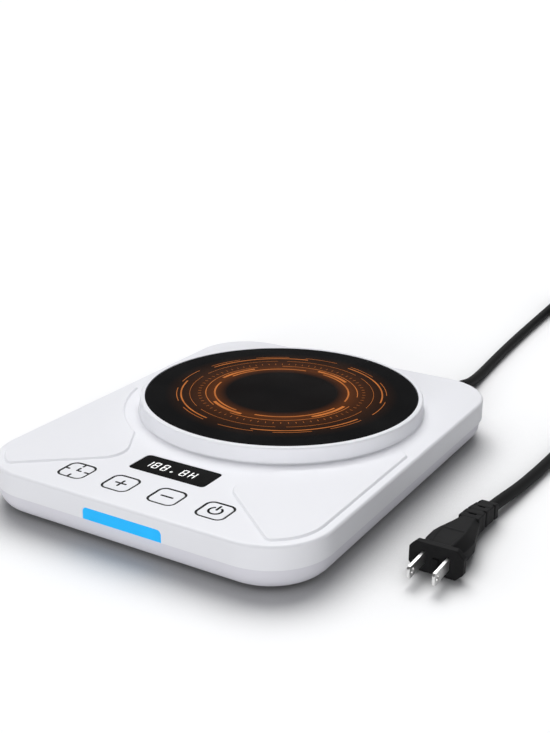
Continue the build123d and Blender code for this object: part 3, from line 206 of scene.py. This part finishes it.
def makeMouldedSkin():
    group, given, result = newGroup(
        "mouldedSkin",
        [
            ("Color", "NodeSocketColor", (0.8, 0.8, 0.8, 1)),
            ("Roughness", "NodeSocketFloat", 0.4),
            ("Grain Scale", "NodeSocketFloat", 900.0),
            ("Tone", "NodeSocketFloat", 0.03),
            ("Rubbing", "NodeSocketFloat", 0.1),
        ],
        [
            ("Color", "NodeSocketColor"),
            ("Roughness", "NodeSocketFloat"),
            ("Height", "NodeSocketFloat"),
        ],
    )
    place = addNode(group, "ShaderNodeTexCoord").outputs["Object"]
    slowValues = {"Scale": skin["slowScale"], "Detail": 3.0}
    slow = addNode(group, "ShaderNodeTexNoise", slowValues, Vector=place).outputs[0]
    grainScale = given["Grain Scale"]
    grain = addNode(group, "ShaderNodeTexNoise", {"Detail": 2.0}, Vector=place, Scale=grainScale)
    streaks = addNode(group, "ShaderNodeMapping", {"Scale": skin["streakScale"]}, Vector=place)
    streakNoise = {"Scale": 1.0, "Detail": 4.0}
    rubbed = addNode(group, "ShaderNodeTexNoise", streakNoise, Vector=streaks.outputs[0])
    streakFrom, streakTo = skin["streakShare"]
    streakValues = {"From Min": streakFrom, "From Max": streakTo}
    rubbed = addNode(group, "ShaderNodeMapRange", streakValues, Value=rubbed.outputs[0])
    lowest = mathNode(group, "MULTIPLY_ADD", given["Tone"], -0.5, 1.0)
    shade = mathNode(group, "MULTIPLY_ADD", slow, given["Tone"], lowest)
    scaled = {"operation": "SCALE"}
    toned = addNode(group, "ShaderNodeVectorMath", scaled, Vector=given["Color"], Scale=shade)
    rough = mathNode(
        group, "MULTIPLY_ADD", rubbed.outputs[0], given["Rubbing"], given["Roughness"]
    )
    rough = mathNode(group, "MULTIPLY_ADD", slow, skin["slowRoughness"], rough)
    group.links.new(toned.outputs[0], result["Color"])
    group.links.new(rough, result["Roughness"])
    group.links.new(grain.outputs[0], result["Height"])
    return group


mouldedSkin = makeMouldedSkin()


def mouldedMaterial(
    name, color, roughness, grain=900.0, tone=0.03, rubbing=0.1, bump=0.05, specular=0.5
):
    material = newMaterial(name, color, roughness, specular=specular)
    tree = material.node_tree
    shader = tree.nodes["Principled BSDF"]
    group = tree.nodes.new("ShaderNodeGroup")
    group.node_tree = mouldedSkin
    group.inputs["Color"].default_value = (*color, 1)
    group.inputs["Roughness"].default_value = roughness
    group.inputs["Grain Scale"].default_value = grain
    group.inputs["Tone"].default_value = tone
    group.inputs["Rubbing"].default_value = rubbing
    bumpValues = {"Strength": bump, "Distance": skin["grainHeight"]}
    raised = addNode(tree, "ShaderNodeBump", bumpValues, Height=group.outputs["Height"])
    tree.links.new(group.outputs["Color"], shader.inputs["Base Color"])
    tree.links.new(group.outputs["Roughness"], shader.inputs["Roughness"])
    tree.links.new(raised.outputs[0], shader.inputs["Normal"])
    return material


def noiseRange(low, high):
    # values for a Map Range node that turns a noise texture into low to high
    return {
        "From Min": noiseSpan[0],
        "From Max": noiseSpan[1],
        "To Min": low,
        "To Max": high,
    }


def litMaterial(name, color, light, strength, patches=60.0, uneven=0.12, specular=0.15):
    # a printed or moulded surface with lamps behind it, so its light is a little uneven
    material = mouldedMaterial(
        name, color, 0.42, tone=0.05, rubbing=0.0, bump=0.02, specular=specular
    )
    tree = material.node_tree
    shader = tree.nodes["Principled BSDF"]
    place = addNode(tree, "ShaderNodeTexCoord").outputs["Object"]
    noise = addNode(tree, "ShaderNodeTexNoise", {"Scale": patches, "Detail": 2.0}, Vector=place)
    values = noiseRange(1 - uneven, 1 + uneven)
    level = addNode(tree, "ShaderNodeMapRange", values, Value=noise.outputs[0])
    values = {"operation": "SCALE", "Vector": light}
    lit = addNode(tree, "ShaderNodeVectorMath", values, Scale=level.outputs[0])
    tree.links.new(lit.outputs[0], shader.inputs["Emission Color"])
    shader.inputs["Emission Strength"].default_value = strength
    return material


def metalMaterial(name, color, roughness, drawn=(300.0, 30.0, 300.0), smoother=0.06, rougher=0.1):
    # metal with fine drawing lines along one direction, smoother and rougher than its mean
    material = newMaterial(name, color, roughness, metallic=1.0)
    tree = material.node_tree
    shader = tree.nodes["Principled BSDF"]
    place = addNode(tree, "ShaderNodeTexCoord").outputs["Object"]
    lines = addNode(tree, "ShaderNodeMapping", {"Scale": drawn}, Vector=place)
    values = {"Scale": 4.0, "Detail": 4.0}
    noise = addNode(tree, "ShaderNodeTexNoise", values, Vector=lines.outputs[0])
    values = {"To Min": roughness - smoother, "To Max": roughness + rougher}
    rough = addNode(tree, "ShaderNodeMapRange", values, Value=noise.outputs[0])
    tree.links.new(rough.outputs[0], shader.inputs["Roughness"])
    return material


def dress(material, *names):
    # gives frame pieces a finish and leaves their shapes alone
    for name in names:
        mesh = nodes[name].data
        mesh.materials.clear()
        mesh.materials.append(material)


def startingWith(prefix):
    return [name for name in nodes if name.startswith(prefix)]


print("helpers and shared finishes ready")

# Camera at the photograph's angle
camera = {
    "place": (0.31276, -0.50542, 0.27169),
    "turn": (70.43, -0.53, 30.91),  # degrees about X, Y and Z
    "lens": 54.03,
}
cameraData = bpy.data.cameras.new("camera")
cameraData.lens = camera["lens"]
cameraData.clip_start = 0.01  # metres
cameraObject = bpy.data.objects.new("camera", cameraData)
cameraObject.location = camera["place"]
cameraObject.rotation_euler = [math.radians(angle) for angle in camera["turn"]]
scene.collection.objects.link(cameraObject)
scene.camera = cameraObject

# Pale floor and world, which the camera sees as white where nothing shades them; near pieces the
# floor carries a painted shade
studio = {
    "floorSize": 40.0,
    "floorColor": (0.5, 0.5, 0.5),
    "seenFloorColor": (1.06, 1.06, 1.06),
    "paintedShadeReach": 0.07,  # how far from a piece the floor's painted shade reaches, in metres
    "paintedShadeDepth": 0.8,  # share of the floor's seen colour that the painted shade takes away right up against a piece
    "fill": (0.15, 0.153, 0.165),
    "horizonFade": (0.05, 0.3),  # rise of the direction in which reflections darken
    "ceiling": 0.05,
}
floorShape = bmesh.new()
bmesh.ops.create_grid(floorShape, x_segments=1, y_segments=1, size=studio["floorSize"] / 2)
floorMesh = bpy.data.meshes.new("floor")
floorShape.to_mesh(floorMesh)
floorShape.free()
floor = bpy.data.objects.new("floor", floorMesh)
floorPaint = bpy.data.materials.new("floorPaint")
floorPaint.use_nodes = True
floorMesh.materials.append(floorPaint)
scene.collection.objects.link(floor)


def mixSeen(tree, kind, plain, shown, output):
    # one shader for the light that bounces, another for what is looked at
    tree.nodes.clear()
    paths = tree.nodes.new("ShaderNodeLightPath").outputs
    seen = mathNode(tree, "MAXIMUM", paths["Is Camera Ray"], paths["Is Glossy Ray"])
    seen = mathNode(tree, "MAXIMUM", seen, paths["Is Transmission Ray"])
    bounced = addNode(tree, kind, {"Color": (*plain, 1)})
    looked = addNode(tree, kind, {"Color": (*shown, 1)})
    mixed = addNode(tree, "ShaderNodeMixShader", Fac=seen)
    tree.links.new(bounced.outputs[0], mixed.inputs[1])
    tree.links.new(looked.outputs[0], mixed.inputs[2])
    tree.links.new(mixed.outputs[0], tree.nodes.new(output).inputs[0])
    return looked, paths["Is Camera Ray"]


floorTree = floorPaint.node_tree
seenFloor, _ = mixSeen(
    floorTree,
    "ShaderNodeBsdfDiffuse",
    studio["floorColor"],
    studio["seenFloorColor"],
    "ShaderNodeOutputMaterial",
)
# Painted shade: the floor's seen colour darkens with the occlusion of nearby pieces, on top of
# the lamps' shadows
paintedShadeValues = {"samples": 12, "Distance": studio["paintedShadeReach"]}
paintedShade = addNode(floorTree, "ShaderNodeAmbientOcclusion", paintedShadeValues)
paintedShadeRange = {"To Min": 1 - studio["paintedShadeDepth"], "To Max": 1.0}
shade = addNode(floorTree, "ShaderNodeMapRange", paintedShadeRange, Value=paintedShade.outputs["AO"])
paleValues = {"operation": "SCALE", "Vector": studio["seenFloorColor"]}
paintedShadeFloorColor = addNode(floorTree, "ShaderNodeVectorMath", paleValues, Scale=shade.outputs[0])
floorTree.links.new(paintedShadeFloorColor.outputs[0], seenFloor.inputs["Color"])
world = bpy.data.worlds.new("world")
scene.world = world
world.use_nodes = True
sky = world.node_tree
backdrop, cameraRay = mixSeen(
    sky, "ShaderNodeBackground", studio["fill"], (1, 1, 1), "ShaderNodeOutputWorld"
)
direction = addNode(sky, "ShaderNodeTexCoord").outputs["Generated"]
rise = addNode(sky, "ShaderNodeSeparateXYZ", Vector=direction).outputs["Z"]
fadeFrom, fadeTo = studio["horizonFade"]
fadeValues = {
    "From Min": fadeFrom,
    "From Max": fadeTo,
    "To Min": 1.0,
    "To Max": studio["ceiling"],
}
fade = addNode(sky, "ShaderNodeMapRange", fadeValues, Value=rise)
sky.links.new(mathNode(sky, "MAXIMUM", fade.outputs[0], cameraRay), backdrop.inputs["Strength"])

# Two wide soft lamps: one high behind on the left, one low in front without glare on glass
lamps = {
    "high": {"from": (-0.36, 0.56, 1.0), "level": 0.88, "spread": 48, "mirrored": True},
    "low": {"from": (0.24, -0.94, 0.12), "level": 0.68, "spread": 24, "mirrored": False},
}
for lampName, lamp in lamps.items():
    lampData = bpy.data.lights.new(lampName, "SUN")
    lampData.energy = lamp["level"] * math.pi
    lampData.angle = math.radians(lamp["spread"])
    lampObject = bpy.data.objects.new(lampName, lampData)
    lampObject.rotation_euler = (-Vector(lamp["from"])).to_track_quat("-Z", "Y").to_euler()
    lampObject.location = lamp["from"]
    lampObject.visible_glossy = lamp["mirrored"]
    scene.collection.objects.link(lampObject)
print("camera, floor and lamps ready")

# Mains cord: back out of the casing, a tied coil, and forward again to the plug
cord = {
    "diameter": 6.6,
    "length": 1.543,
    "lay": 3.35,  # height of the cord's middle where it lies on the floor
    "color": (0.014, 0.014, 0.0145),
    "roughness": 0.55,
    "smoothness": 6,  # steps between points and round a quarter of its thickness
}
coil = {
    "middle": (96.6, 426.0),
    "height": 4.6,
    "rise": 7.4,
    "radii": (45.1, 41.4, 37.7, 33.0),
    "stepsPerHalfTurn": 8,
}
reliefTip = (60.5, 152.5, 8.9)
plugTip = (143.2, 5.0, 6.3)
rearRoute = [
    reliefTip,
    (60.9, 163.5, 8.9),
    (62.0, 182.0, 5.2),
    (60.4, 206.0, cord["lay"]),
    (57.6, 243.0, cord["lay"]),
    (54.8, 290.0, cord["lay"]),
    (52.9, 338.0, cord["lay"]),
    (51.4, 380.0, cord["lay"]),
    (51.5, 408.0, 4.6),
]
frontRoute = [
    (141.7, 412.0, 12.0),
    (142.3, 388.0, 9.0),
    (144.2, 358.0, 4.8),
    (147.6, 320.0, cord["lay"]),
    (150.6, 272.0, cord["lay"]),
    (152.4, 221.0, cord["lay"]),
    (152.0, 171.0, cord["lay"]),
    (150.6, 124.0, cord["lay"]),
    (149.2, 86.0, cord["lay"]),
    (147.4, 55.0, 3.6),
    (145.9, 35.0, 4.5),
    (144.3, 18.0, 5.7),
    plugTip,
]


def coilRoute():
    # half turns inwards, one up to the second layer, and outwards again
    radii = [*coil["radii"], *reversed(coil["radii"])]
    layers = [0] * len(coil["radii"]) + [1] * len(coil["radii"])
    steps = coil["stepsPerHalfTurn"]
    points = []
    for turn in range(len(radii) - 1):
        side = -1 if turn % 2 == 0 else 1
        shift = side * (radii[turn] - radii[turn + 1]) / 2
        reach = (radii[turn] + radii[turn + 1]) / 2 / math.cos(math.pi / steps / 2)
        for step in range(steps):
            share = (step + 0.5) / steps
            layer = layers[turn] + (layers[turn + 1] - layers[turn]) * share
            x = coil["middle"][0] + shift + side * reach * math.cos(math.pi * share)
            y = coil["middle"][1] - side * reach * math.sin(math.pi * share)
            points.append((x, y, coil["height"] + coil["rise"] * layer))
    return points


cordRoute = [*rearRoute, *coilRoute(), *frontRoute]
cordCurve = bpy.data.curves.new("mainsCord", "CURVE")
cordCurve.dimensions = "3D"
cordLine = cordCurve.splines.new("NURBS")
cordLine.points.add(len(cordRoute) - 1)
for point, place in zip(cordLine.points, cordRoute):
    point.co = (*(Vector(place) * mm), 1)
cordLine.order_u = 3
cordLine.use_endpoint_u = True
cordLine.resolution_u = cord["smoothness"]
cordCurve.bevel_depth = cord["diameter"] / 2 * mm
cordCurve.bevel_resolution = cord["smoothness"]
cordCurve.use_fill_caps = True
cordJacket = mouldedMaterial(
    "cordJacket",
    cord["color"],
    cord["roughness"],
    grain=1400.0,
    tone=0.3,
    rubbing=0.2,
    bump=0.2,
    specular=0.06,
)
cordCurve.materials.append(cordJacket)
mainsCord = bpy.data.objects.new("mainsCord", cordCurve)
scene.collection.objects.link(mainsCord)
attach(mainsCord, "casing")
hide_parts("power_cord_rear", "power_cord_coil", "power_cord_front")
print("mains cord laid along", len(cordRoute), "points")

# Plug: a cut-cornered flange, a faceted grip with a sunk panel, and a slotted relief
plug = {
    "middle": (141.6, 8.0),
    "front": -65.0,
    "flange": (28.4, 15.8, 4.0),  # width, height, thickness
    "flangeCut": 3.8,
    "gripCut": 4.0,
    "gripSections": (  # width, height, distance from the plug's front
        (19.6, 14.2, 3.0),
        (22.6, 14.6, 14.0),
        (22.4, 14.2, 22.5),
        (17.0, 11.4, 33.0),
        (12.0, 9.8, 42.5),
    ),
    "panelReach": (4.0, 23.0),  # where the sunk top panel starts and ends
    "panelBorder": 0.8,
    "panelWall": 0.25,
    "panelDepth": 0.5,
    "panelLeastArea": 40,  # square millimetres, so that the flange's top is left out
    "sharpAngle": 12,  # degrees from which an edge is rounded
    "edge": 0.6,
    "rib": (3.4, 2.4, 4.2),
    "ribDrop": 1.0,
    "ribEdge": 0.5,
}
relief = {
    "start": 42.0,
    "widths": (11.4, 11.1, 10.8, 10.4, 10.0),  # of its blocks, front to back
    "length": 4.6,
    "gap": 1.15,
    "flatness": 0.88,
    "taper": 0.97,
    "radius": 0.7,
    "core": 7.4,
    "coreEnd": 1,  # how far the core stops short inside the last block
    "sideBridge": 3.4,  # leaves a slit in the middle of the top
    "sideBridgeReach": 0.94,  # share of the way out to the block's side
    "middleBridge": 7.4,  # leaves a notch at each side
    "bridgeHeights": (0.93, 0.95),  # of the side and middle bridges, as shares of the block's
    "bridgeOverlap": 2,  # how much longer a bridge is than the gap
    "bridgeEdge": 0.5,
    "bend": (1.6, -1.7),  # how far its end swings out and sinks
}


def pushThrough(bm, cut, sections):
    # a cut-cornered face is pushed on from section to section
    width, height, reached = sections[0]
    verts = bmesh.ops.create_grid(bm, x_segments=1, y_segments=1, size=0.5)["verts"]
    bmesh.ops.scale(bm, vec=(width, height, 1), verts=verts)
    bmesh.ops.translate(bm, vec=(0, 0, reached), verts=verts)
    corners = bevelShape(bm, verts, cut, "VERTICES", 1)["verts"]
    end = corners[0].link_faces[0]
    for index, section in enumerate(sections[1:]):
        pushed = bmesh.ops.extrude_face_region(bm, geom=[end])["geom"]
        if index > 0:
            bmesh.ops.delete(bm, geom=[end], context="FACES_ONLY")
        end = next(item for item in pushed if isinstance(item, bmesh.types.BMFace))
        bmesh.ops.scale(bm, vec=(section[0] / width, section[1] / height, 1), verts=end.verts[:])
        bmesh.ops.translate(bm, vec=(0, 0, section[2] - reached), verts=end.verts[:])
        width, height, reached = section


def makePlugGrip():
    bm = bmesh.new()
    width, height, thickness = plug["flange"]
    pushThrough(bm, plug["flangeCut"], ((width, height, 0.0), (width, height, thickness)))
    pushThrough(bm, plug["gripCut"], plug["gripSections"])
    x, z = plug["middle"]
    layAlongY(bm, bm.verts[:], (x, plug["front"], z))
    bmesh.ops.recalc_face_normals(bm, faces=bm.faces[:])
    leastAngle = math.radians(plug["sharpAngle"])
    sharp = [edge for edge in bm.edges if edge.calc_face_angle(0.0) > leastAngle]
    bevelShape(bm, sharp, plug["edge"])
    first, last = (plug["front"] + distance for distance in plug["panelReach"])
    tops = [face for face in bm.faces if face.normal.z > 0.9]
    tops = [face for face in tops if face.calc_area() > plug["panelLeastArea"]]
    tops = [face for face in tops if first < face.calc_center_median().y < last]
    bmesh.ops.inset_region(bm, faces=tops, thickness=plug["panelBorder"], depth=0)
    bmesh.ops.inset_region(bm, faces=tops, thickness=plug["panelWall"], depth=-plug["panelDepth"])
    roundedBlock(bm, (x, plug["front"], z - plug["ribDrop"]), plug["rib"], plug["ribEdge"])
    return finishPiece("plugGrip", bm, "casing", cordJacket)


def makeRelief():
    bm = bmesh.new()
    x, z = plug["middle"]
    y = start = plug["front"] + relief["start"]
    length, gap = relief["length"], relief["gap"]
    bridgeLength = gap + relief["bridgeOverlap"]
    sideHeight, middleHeight = relief["bridgeHeights"]
    for index, width in enumerate(relief["widths"]):
        height = width * relief["flatness"]
        middle = (x, y + length / 2, z)
        roundedBlock(bm, middle, (width, length, height), relief["radius"], relief["taper"])
        y += length
        if width == relief["widths"][-1]:
            break
        if index % 2 == 0:
            bridge = relief["sideBridge"]
            size = (bridge, bridgeLength, height * sideHeight)
            for side in (-1, 1):
                out = side * (width - bridge) / 2 * relief["sideBridgeReach"]
                roundedBlock(bm, (x + out, y + gap / 2, z), size, relief["bridgeEdge"])
        else:
            size = (relief["middleBridge"], bridgeLength, height * middleHeight)
            roundedBlock(bm, (x, y + gap / 2, z), size, relief["bridgeEdge"])
        y += gap
    radius = relief["core"] / 2
    depth = y - start - relief["coreEnd"]
    core = bmesh.ops.create_cone(
        bm, cap_ends=True, segments=32, radius1=radius, radius2=radius, depth=depth
    )["verts"]
    layAlongY(bm, core, (x, start + depth / 2, z))
    for vert in bm.verts:
        share = max(0, (vert.co.y - start) / (y - start)) ** 2
        vert.co.x += relief["bend"][0] * share
        vert.co.z += relief["bend"][1] * share
    return finishPiece("plugRelief", bm, "casing", cordJacket)


plugGrip = makePlugGrip()
plugRelief = makeRelief()
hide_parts("plug_body")
platedBlades = metalMaterial("platedBlades", (0.8, 0.8, 0.79), 0.38, drawn=(300.0, 20.0, 300.0))
dress(platedBlades, "plug_blades")
print("plug made and joined to the cord")

# Casing: satin white top, pale tray, black seals, grey feet, and the cord's tie
casing = {
    "whiteShell": {
        "color": (0.832, 0.836, 0.868),
        "roughness": 0.36,
        "grain": 1100.0,
        "tone": 0.02,
        "rubbing": 0.05,
        "bump": 0.04,
        "specular": 0.4,
    },
    "trayPlastic": {
        "color": (0.72, 0.715, 0.765),
        "roughness": 0.45,
        "tone": 0.03,
        "rubbing": 0.08,
        "bump": 0.06,
        "specular": 0.4,
    },
    "blackSeal": {
        "color": (0.004, 0.004, 0.0045),
        "roughness": 0.55,
        "grain": 1400.0,
        "tone": 0.2,
        "bump": 0.1,
        "specular": 0.15,
    },
    "tieStrap": {
        "color": (0.02, 0.02, 0.02),
        "roughness": 0.4,
        "grain": 700.0,
        "tone": 0.2,
        "bump": 0.1,
        "specular": 0.3,
    },
    "footRubber": {
        "color": (0.16, 0.16, 0.17),
        "roughness": 0.7,
        "grain": 1400.0,
        "tone": 0.2,
        "rubbing": 0.2,
        "bump": 0.2,
    },
}
dressedIn = {
    "whiteShell": ("upper_shell", "plate_collar", *startingWith("key_cap_")),
    "trayPlastic": ("lower_shell", "cord_clamp"),
    "blackSeal": ("key_seals", "plate_seal"),
    "tieStrap": ("cord_tie",),
    "footRubber": startingWith("foot_"),
}
for finishName, names in dressedIn.items():
    dress(mouldedMaterial(finishName, **casing[finishName]), *names)
dress(cordJacket, "cord_strain_relief", "cord_tail")
print("casing dressed")

# Glass plate: black, wiped, with the heat's glow round its middle
plate = {
    "color": (0.006, 0.006, 0.0064),
    "roughness": (0.12, 0.18),
    "specular": 0.05,
    "wipeScale": 30.0,
    "glow": (  # radius in mm and colour of the light that comes through
        (0.0, (0.0004, 0.0001, 0.0)),
        (33.0, (0.0016, 0.0005, 0.0)),
        (41.0, (0.085, 0.022, 0.003)),
        (47.0, (0.05, 0.0135, 0.002)),
        (58.0, (0.022, 0.0064, 0.001)),
        (70.0, (0.0, 0.0, 0.0)),
    ),
}
plateLow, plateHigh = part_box("glass_plate")
plateMiddle = ((plateLow + plateHigh) / 2).xy / mm
plateTop = plateHigh.z / mm


def makeGlass():
    low, high = plate["roughness"]
    material = newMaterial("blackGlass", plate["color"], low, specular=plate["specular"])
    tree = material.node_tree
    shader = tree.nodes["Principled BSDF"]
    place = addNode(tree, "ShaderNodeTexCoord").outputs["Object"]
    toMiddle = {"Location": (-plateMiddle.x * mm, -plateMiddle.y * mm, -plateTop * mm)}
    centred = addNode(tree, "ShaderNodeMapping", toMiddle, Vector=place)
    flatten = {"Scale": (1.0, 1.0, 0.0)}
    flat = addNode(tree, "ShaderNodeMapping", flatten, Vector=centred.outputs[0])
    measure = {"operation": "LENGTH"}
    away = addNode(tree, "ShaderNodeVectorMath", measure, Vector=flat.outputs[0]).outputs["Value"]
    reach = plate["glow"][-1][0]
    glow = addNode(tree, "ShaderNodeValToRGB", Fac=mathNode(tree, "DIVIDE", away, reach * mm))
    stops = glow.color_ramp.elements
    stops[0].color = (*plate["glow"][0][1], 1)
    stops[1].color = (*plate["glow"][-1][1], 1)
    for radius, color in plate["glow"][1:-1]:
        stops.new(radius / reach).color = (*color, 1)
    tree.links.new(glow.outputs[0], shader.inputs["Emission Color"])
    shader.inputs["Emission Strength"].default_value = 1.0
    values = {"Scale": plate["wipeScale"], "Detail": 5.0}
    wiped = addNode(tree, "ShaderNodeTexNoise", values, Vector=place)
    values = noiseRange(low, high)
    rough = addNode(tree, "ShaderNodeMapRange", values, Value=wiped.outputs[0])
    tree.links.new(rough.outputs[0], shader.inputs["Roughness"])
    return material


dress(makeGlass(), "glass_plate")

# Rings that glow in the plate: plain arcs and ticks
rings = {
    "lift": 0.03,
    "arcs": (  # radius, width, first angle, sweep, how often round
        (40.2, 1.0, 8, 72, 4),
        (43.0, 1.9, 54, 34, 4),
        (45.6, 0.5, 20, 100, 3),
        (60.4, 0.9, 14, 62, 4),
        (63.0, 0.4, -4, 20, 12),
        (55.2, 0.25, 3, 54, 6),
    ),
    "ticks": (48.6, 50.2, 0.3, 72),  # inner and outer radius, width, how many
    "color": (0.06, 0.015, 0.003),
    "light": (0.48, 0.14, 0.022),
    "strength": 0.9,
}
hotPrint = litMaterial(
    "hotPrint",
    rings["color"],
    rings["light"],
    rings["strength"],
    patches=90.0,
    uneven=0.25,
    specular=0.03,
)


def makeRings():
    bm = bmesh.new()
    level = printLevel(plateTop, rings["lift"])
    for radius, width, first, sweep, repeats in rings["arcs"]:
        for index in range(repeats):
            printArc(bm, plateMiddle, radius, width, first + 360 / repeats * index, sweep, level)
    inner, outer, width, count = rings["ticks"]
    for index in range(count):
        ray = Matrix.Rotation(math.radians(360 / count * index), 2) @ Vector((1, 0))
        printBar(bm, plateMiddle + ray * inner, plateMiddle + ray * outer, width, level, 4)
    return finishPiece("hotRings", bm, "casing", hotPrint, smooth=False)


makeRings()
print("glass plate and its rings ready")

# Light bar in the front wall
lightBar = {
    "color": (0.01, 0.19, 0.4),
    "light": (0.024, 0.49, 1.0),
    "strength": 0.62,
    "uneven": 0.06,
}
dress(litMaterial("litBar", **lightBar), "light_bar")
print("light bar lit")

# Signs printed on the keys
signs = {
    "stroke": 1.25,
    "lift": 0.05,
    "plus": 3.6,
    "minus": 3.9,
    "ringRadius": 4.1,
    "ringGap": 56,  # degrees left open at the top
    "ringStep": 6,
    "ringBar": (1.0, 5.1),
    "tickReach": 7.35,
    "tickLength": 2.1,
    "hands": (2.9, 2.3),
}
signInk = mouldedMaterial(
    "signInk",
    (0.002, 0.002, 0.0022),
    0.55,
    grain=1400.0,
    tone=0.1,
    rubbing=0.0,
    bump=0.02,
    specular=0.06,
)


def makeSign(keyName):
    low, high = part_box(f"key_cap_{keyName}")
    x, y = ((low + high) / 2).xy / mm
    level = printLevel(high.z / mm, signs["lift"])
    stroke = signs["stroke"]
    bm = bmesh.new()

    def bar(start, end):
        printBar(bm, (x + start[0], y + start[1]), (x + end[0], y + end[1]), stroke, level)

    if keyName in ("plus", "minus"):
        arm = signs[keyName] - stroke / 2
        bar((-arm, 0), (arm, 0))
        if keyName == "plus":
            bar((0, stroke), (0, arm))
            bar((0, -stroke), (0, -arm))
    elif keyName == "power":
        gap = signs["ringGap"]
        radius = signs["ringRadius"] - stroke / 2
        first, sweep = 90 + gap / 2, 360 - gap
        printArc(bm, (x, y), radius, stroke, first, sweep, level, signs["ringStep"])
        bar((0, signs["ringBar"][0]), (0, signs["ringBar"][1]))
    else:
        outer = signs["tickReach"]
        inner = outer - signs["tickLength"]
        for side in ((1, 0), (-1, 0), (0, 1), (0, -1)):
            bar((side[0] * outer, side[1] * outer), (side[0] * inner, side[1] * inner))
        bar((0, 0), (0, signs["hands"][0]))
        bar((stroke, 0), (signs["hands"][1], 0))
    body = f"key_{keyName}"
    return finishPiece(f"{keyName}Sign", bm, body, signInk, smooth=False)


for keyName in ("timer", "plus", "minus", "power"):
    makeSign(keyName)
print("key signs printed")

# Lit figures behind the display window
display = {
    "glass": (0.0005, 0.0005, 0.0006),
    "figures": (  # and how far each stands from the window's middle
        ("1", -17.1),
        ("8", -12.15),
        ("8", -6.4),
        ("8", 5.7),
        ("H", 11.3),
    ),
    "point": (-0.9, -2.4),
    "pointRadius": 0.6,
    "pointWidth": 0.5,
    "pointStep": 20,
    "size": (2.8, 6.4),
    "stroke": 0.82,
    "gap": 0.1,
    "lift": 0.03,
    "strength": 0.75,
}
litBars = {"1": "0010010", "8": "1111111", "H": "0111110"}
displayGlass = mouldedMaterial(
    "displayGlass",
    display["glass"],
    0.3,
    grain=1400.0,
    tone=0.1,
    rubbing=0.05,
    bump=0.0,
    specular=0.02,
)
dress(displayGlass, "display_window")
figureLight = litMaterial(
    "figureLight", (0.4, 0.4, 0.4), (1, 1, 1), display["strength"], patches=200.0, uneven=0.08
)


def makeFigures():
    low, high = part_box("display_window")
    middle = (low + high) / 2 / mm
    level = printLevel(high.z / mm, display["lift"])
    stroke = display["stroke"]
    width, height = display["size"]
    left, right, up, down = -width / 2, width / 2, height / 2, -height / 2
    bars = (  # top, two upper, middle, two lower, bottom
        ((left, up), (right, up)),
        ((left, up), (left, 0)),
        ((right, up), (right, 0)),
        ((left, 0), (right, 0)),
        ((left, 0), (left, down)),
        ((right, 0), (right, down)),
        ((left, down), (right, down)),
    )
    bm = bmesh.new()
    for figure, column in display["figures"]:
        base = Vector((middle.x + column, middle.y))
        for lit, (start, end) in zip(litBars[figure], bars):
            if lit == "1":
                start, end = Vector(start), Vector(end)
                inset = (end - start).normalized() * (stroke / 2 + display["gap"])
                printBar(bm, base + start + inset, base + end - inset, stroke, level, 6)
    spot = (middle.x + display["point"][0], middle.y + display["point"][1])
    radius, width, step = (display[key] for key in ("pointRadius", "pointWidth", "pointStep"))
    printArc(bm, spot, radius, width, 0, 360, level, step)
    return finishPiece("litFigures", bm, "casing", figureLight, smooth=False)


makeFigures()
print("display lit")

# Pieces inside the casing: color, roughness and which pieces have that finish
innerFinishes = {
    "boardGreen": ((0.01, 0.10, 0.03), 0.4, ("control_board", "power_board")),
    "partBlack": (
        (0.02, 0.02, 0.02),
        0.45,
        ("control_chip", "sounder", "fuse", "thermal_cutout", "key_switches"),
    ),
    "partGrey": ((0.06, 0.06, 0.07), 0.4, ("smoothing_capacitors",)),
    "partBlue": ((0.02, 0.08, 0.35), 0.35, ("power_relay",)),
    "partYellow": ((0.6, 0.42, 0.04), 0.4, ("supply_transformer", "filter_capacitor")),
    "partGreen": ((0.03, 0.2, 0.06), 0.45, ("mains_terminals",)),
    "partWhite": ((0.7, 0.7, 0.68), 0.5, ("display_module", "bar_lamps", "plate_sensor")),
    "ceramicFelt": ((0.7, 0.68, 0.6), 0.9, ("insulation_disc",)),
    "micaSheet": ((0.35, 0.26, 0.14), 0.6, ("mica_sheets",)),
    "siliconeWire": ((0.3, 0.02, 0.01), 0.45, ("heater_leads", "sensor_lead", "mains_leads")),
    "ribbonGrey": ((0.35, 0.35, 0.37), 0.5, ("ribbon_cable",)),
    "plungerBlack": ((0.02, 0.02, 0.02), 0.45, startingWith("switch_plunger_")),
}
for finishName, (color, roughness, names) in innerFinishes.items():
    dress(mouldedMaterial(finishName, color, roughness), *names)
allScrews = [name for name in nodes if name.endswith("_screws")]
zincSteel = metalMaterial("zincSteel", (0.6, 0.61, 0.62), 0.35)
dress(zincSteel, "heater_retainer", "heater_element", *allScrews)
dress(metalMaterial("rolledAluminium", (0.8, 0.8, 0.81), 0.4), "heat_spreader")
print("inner pieces dressed")
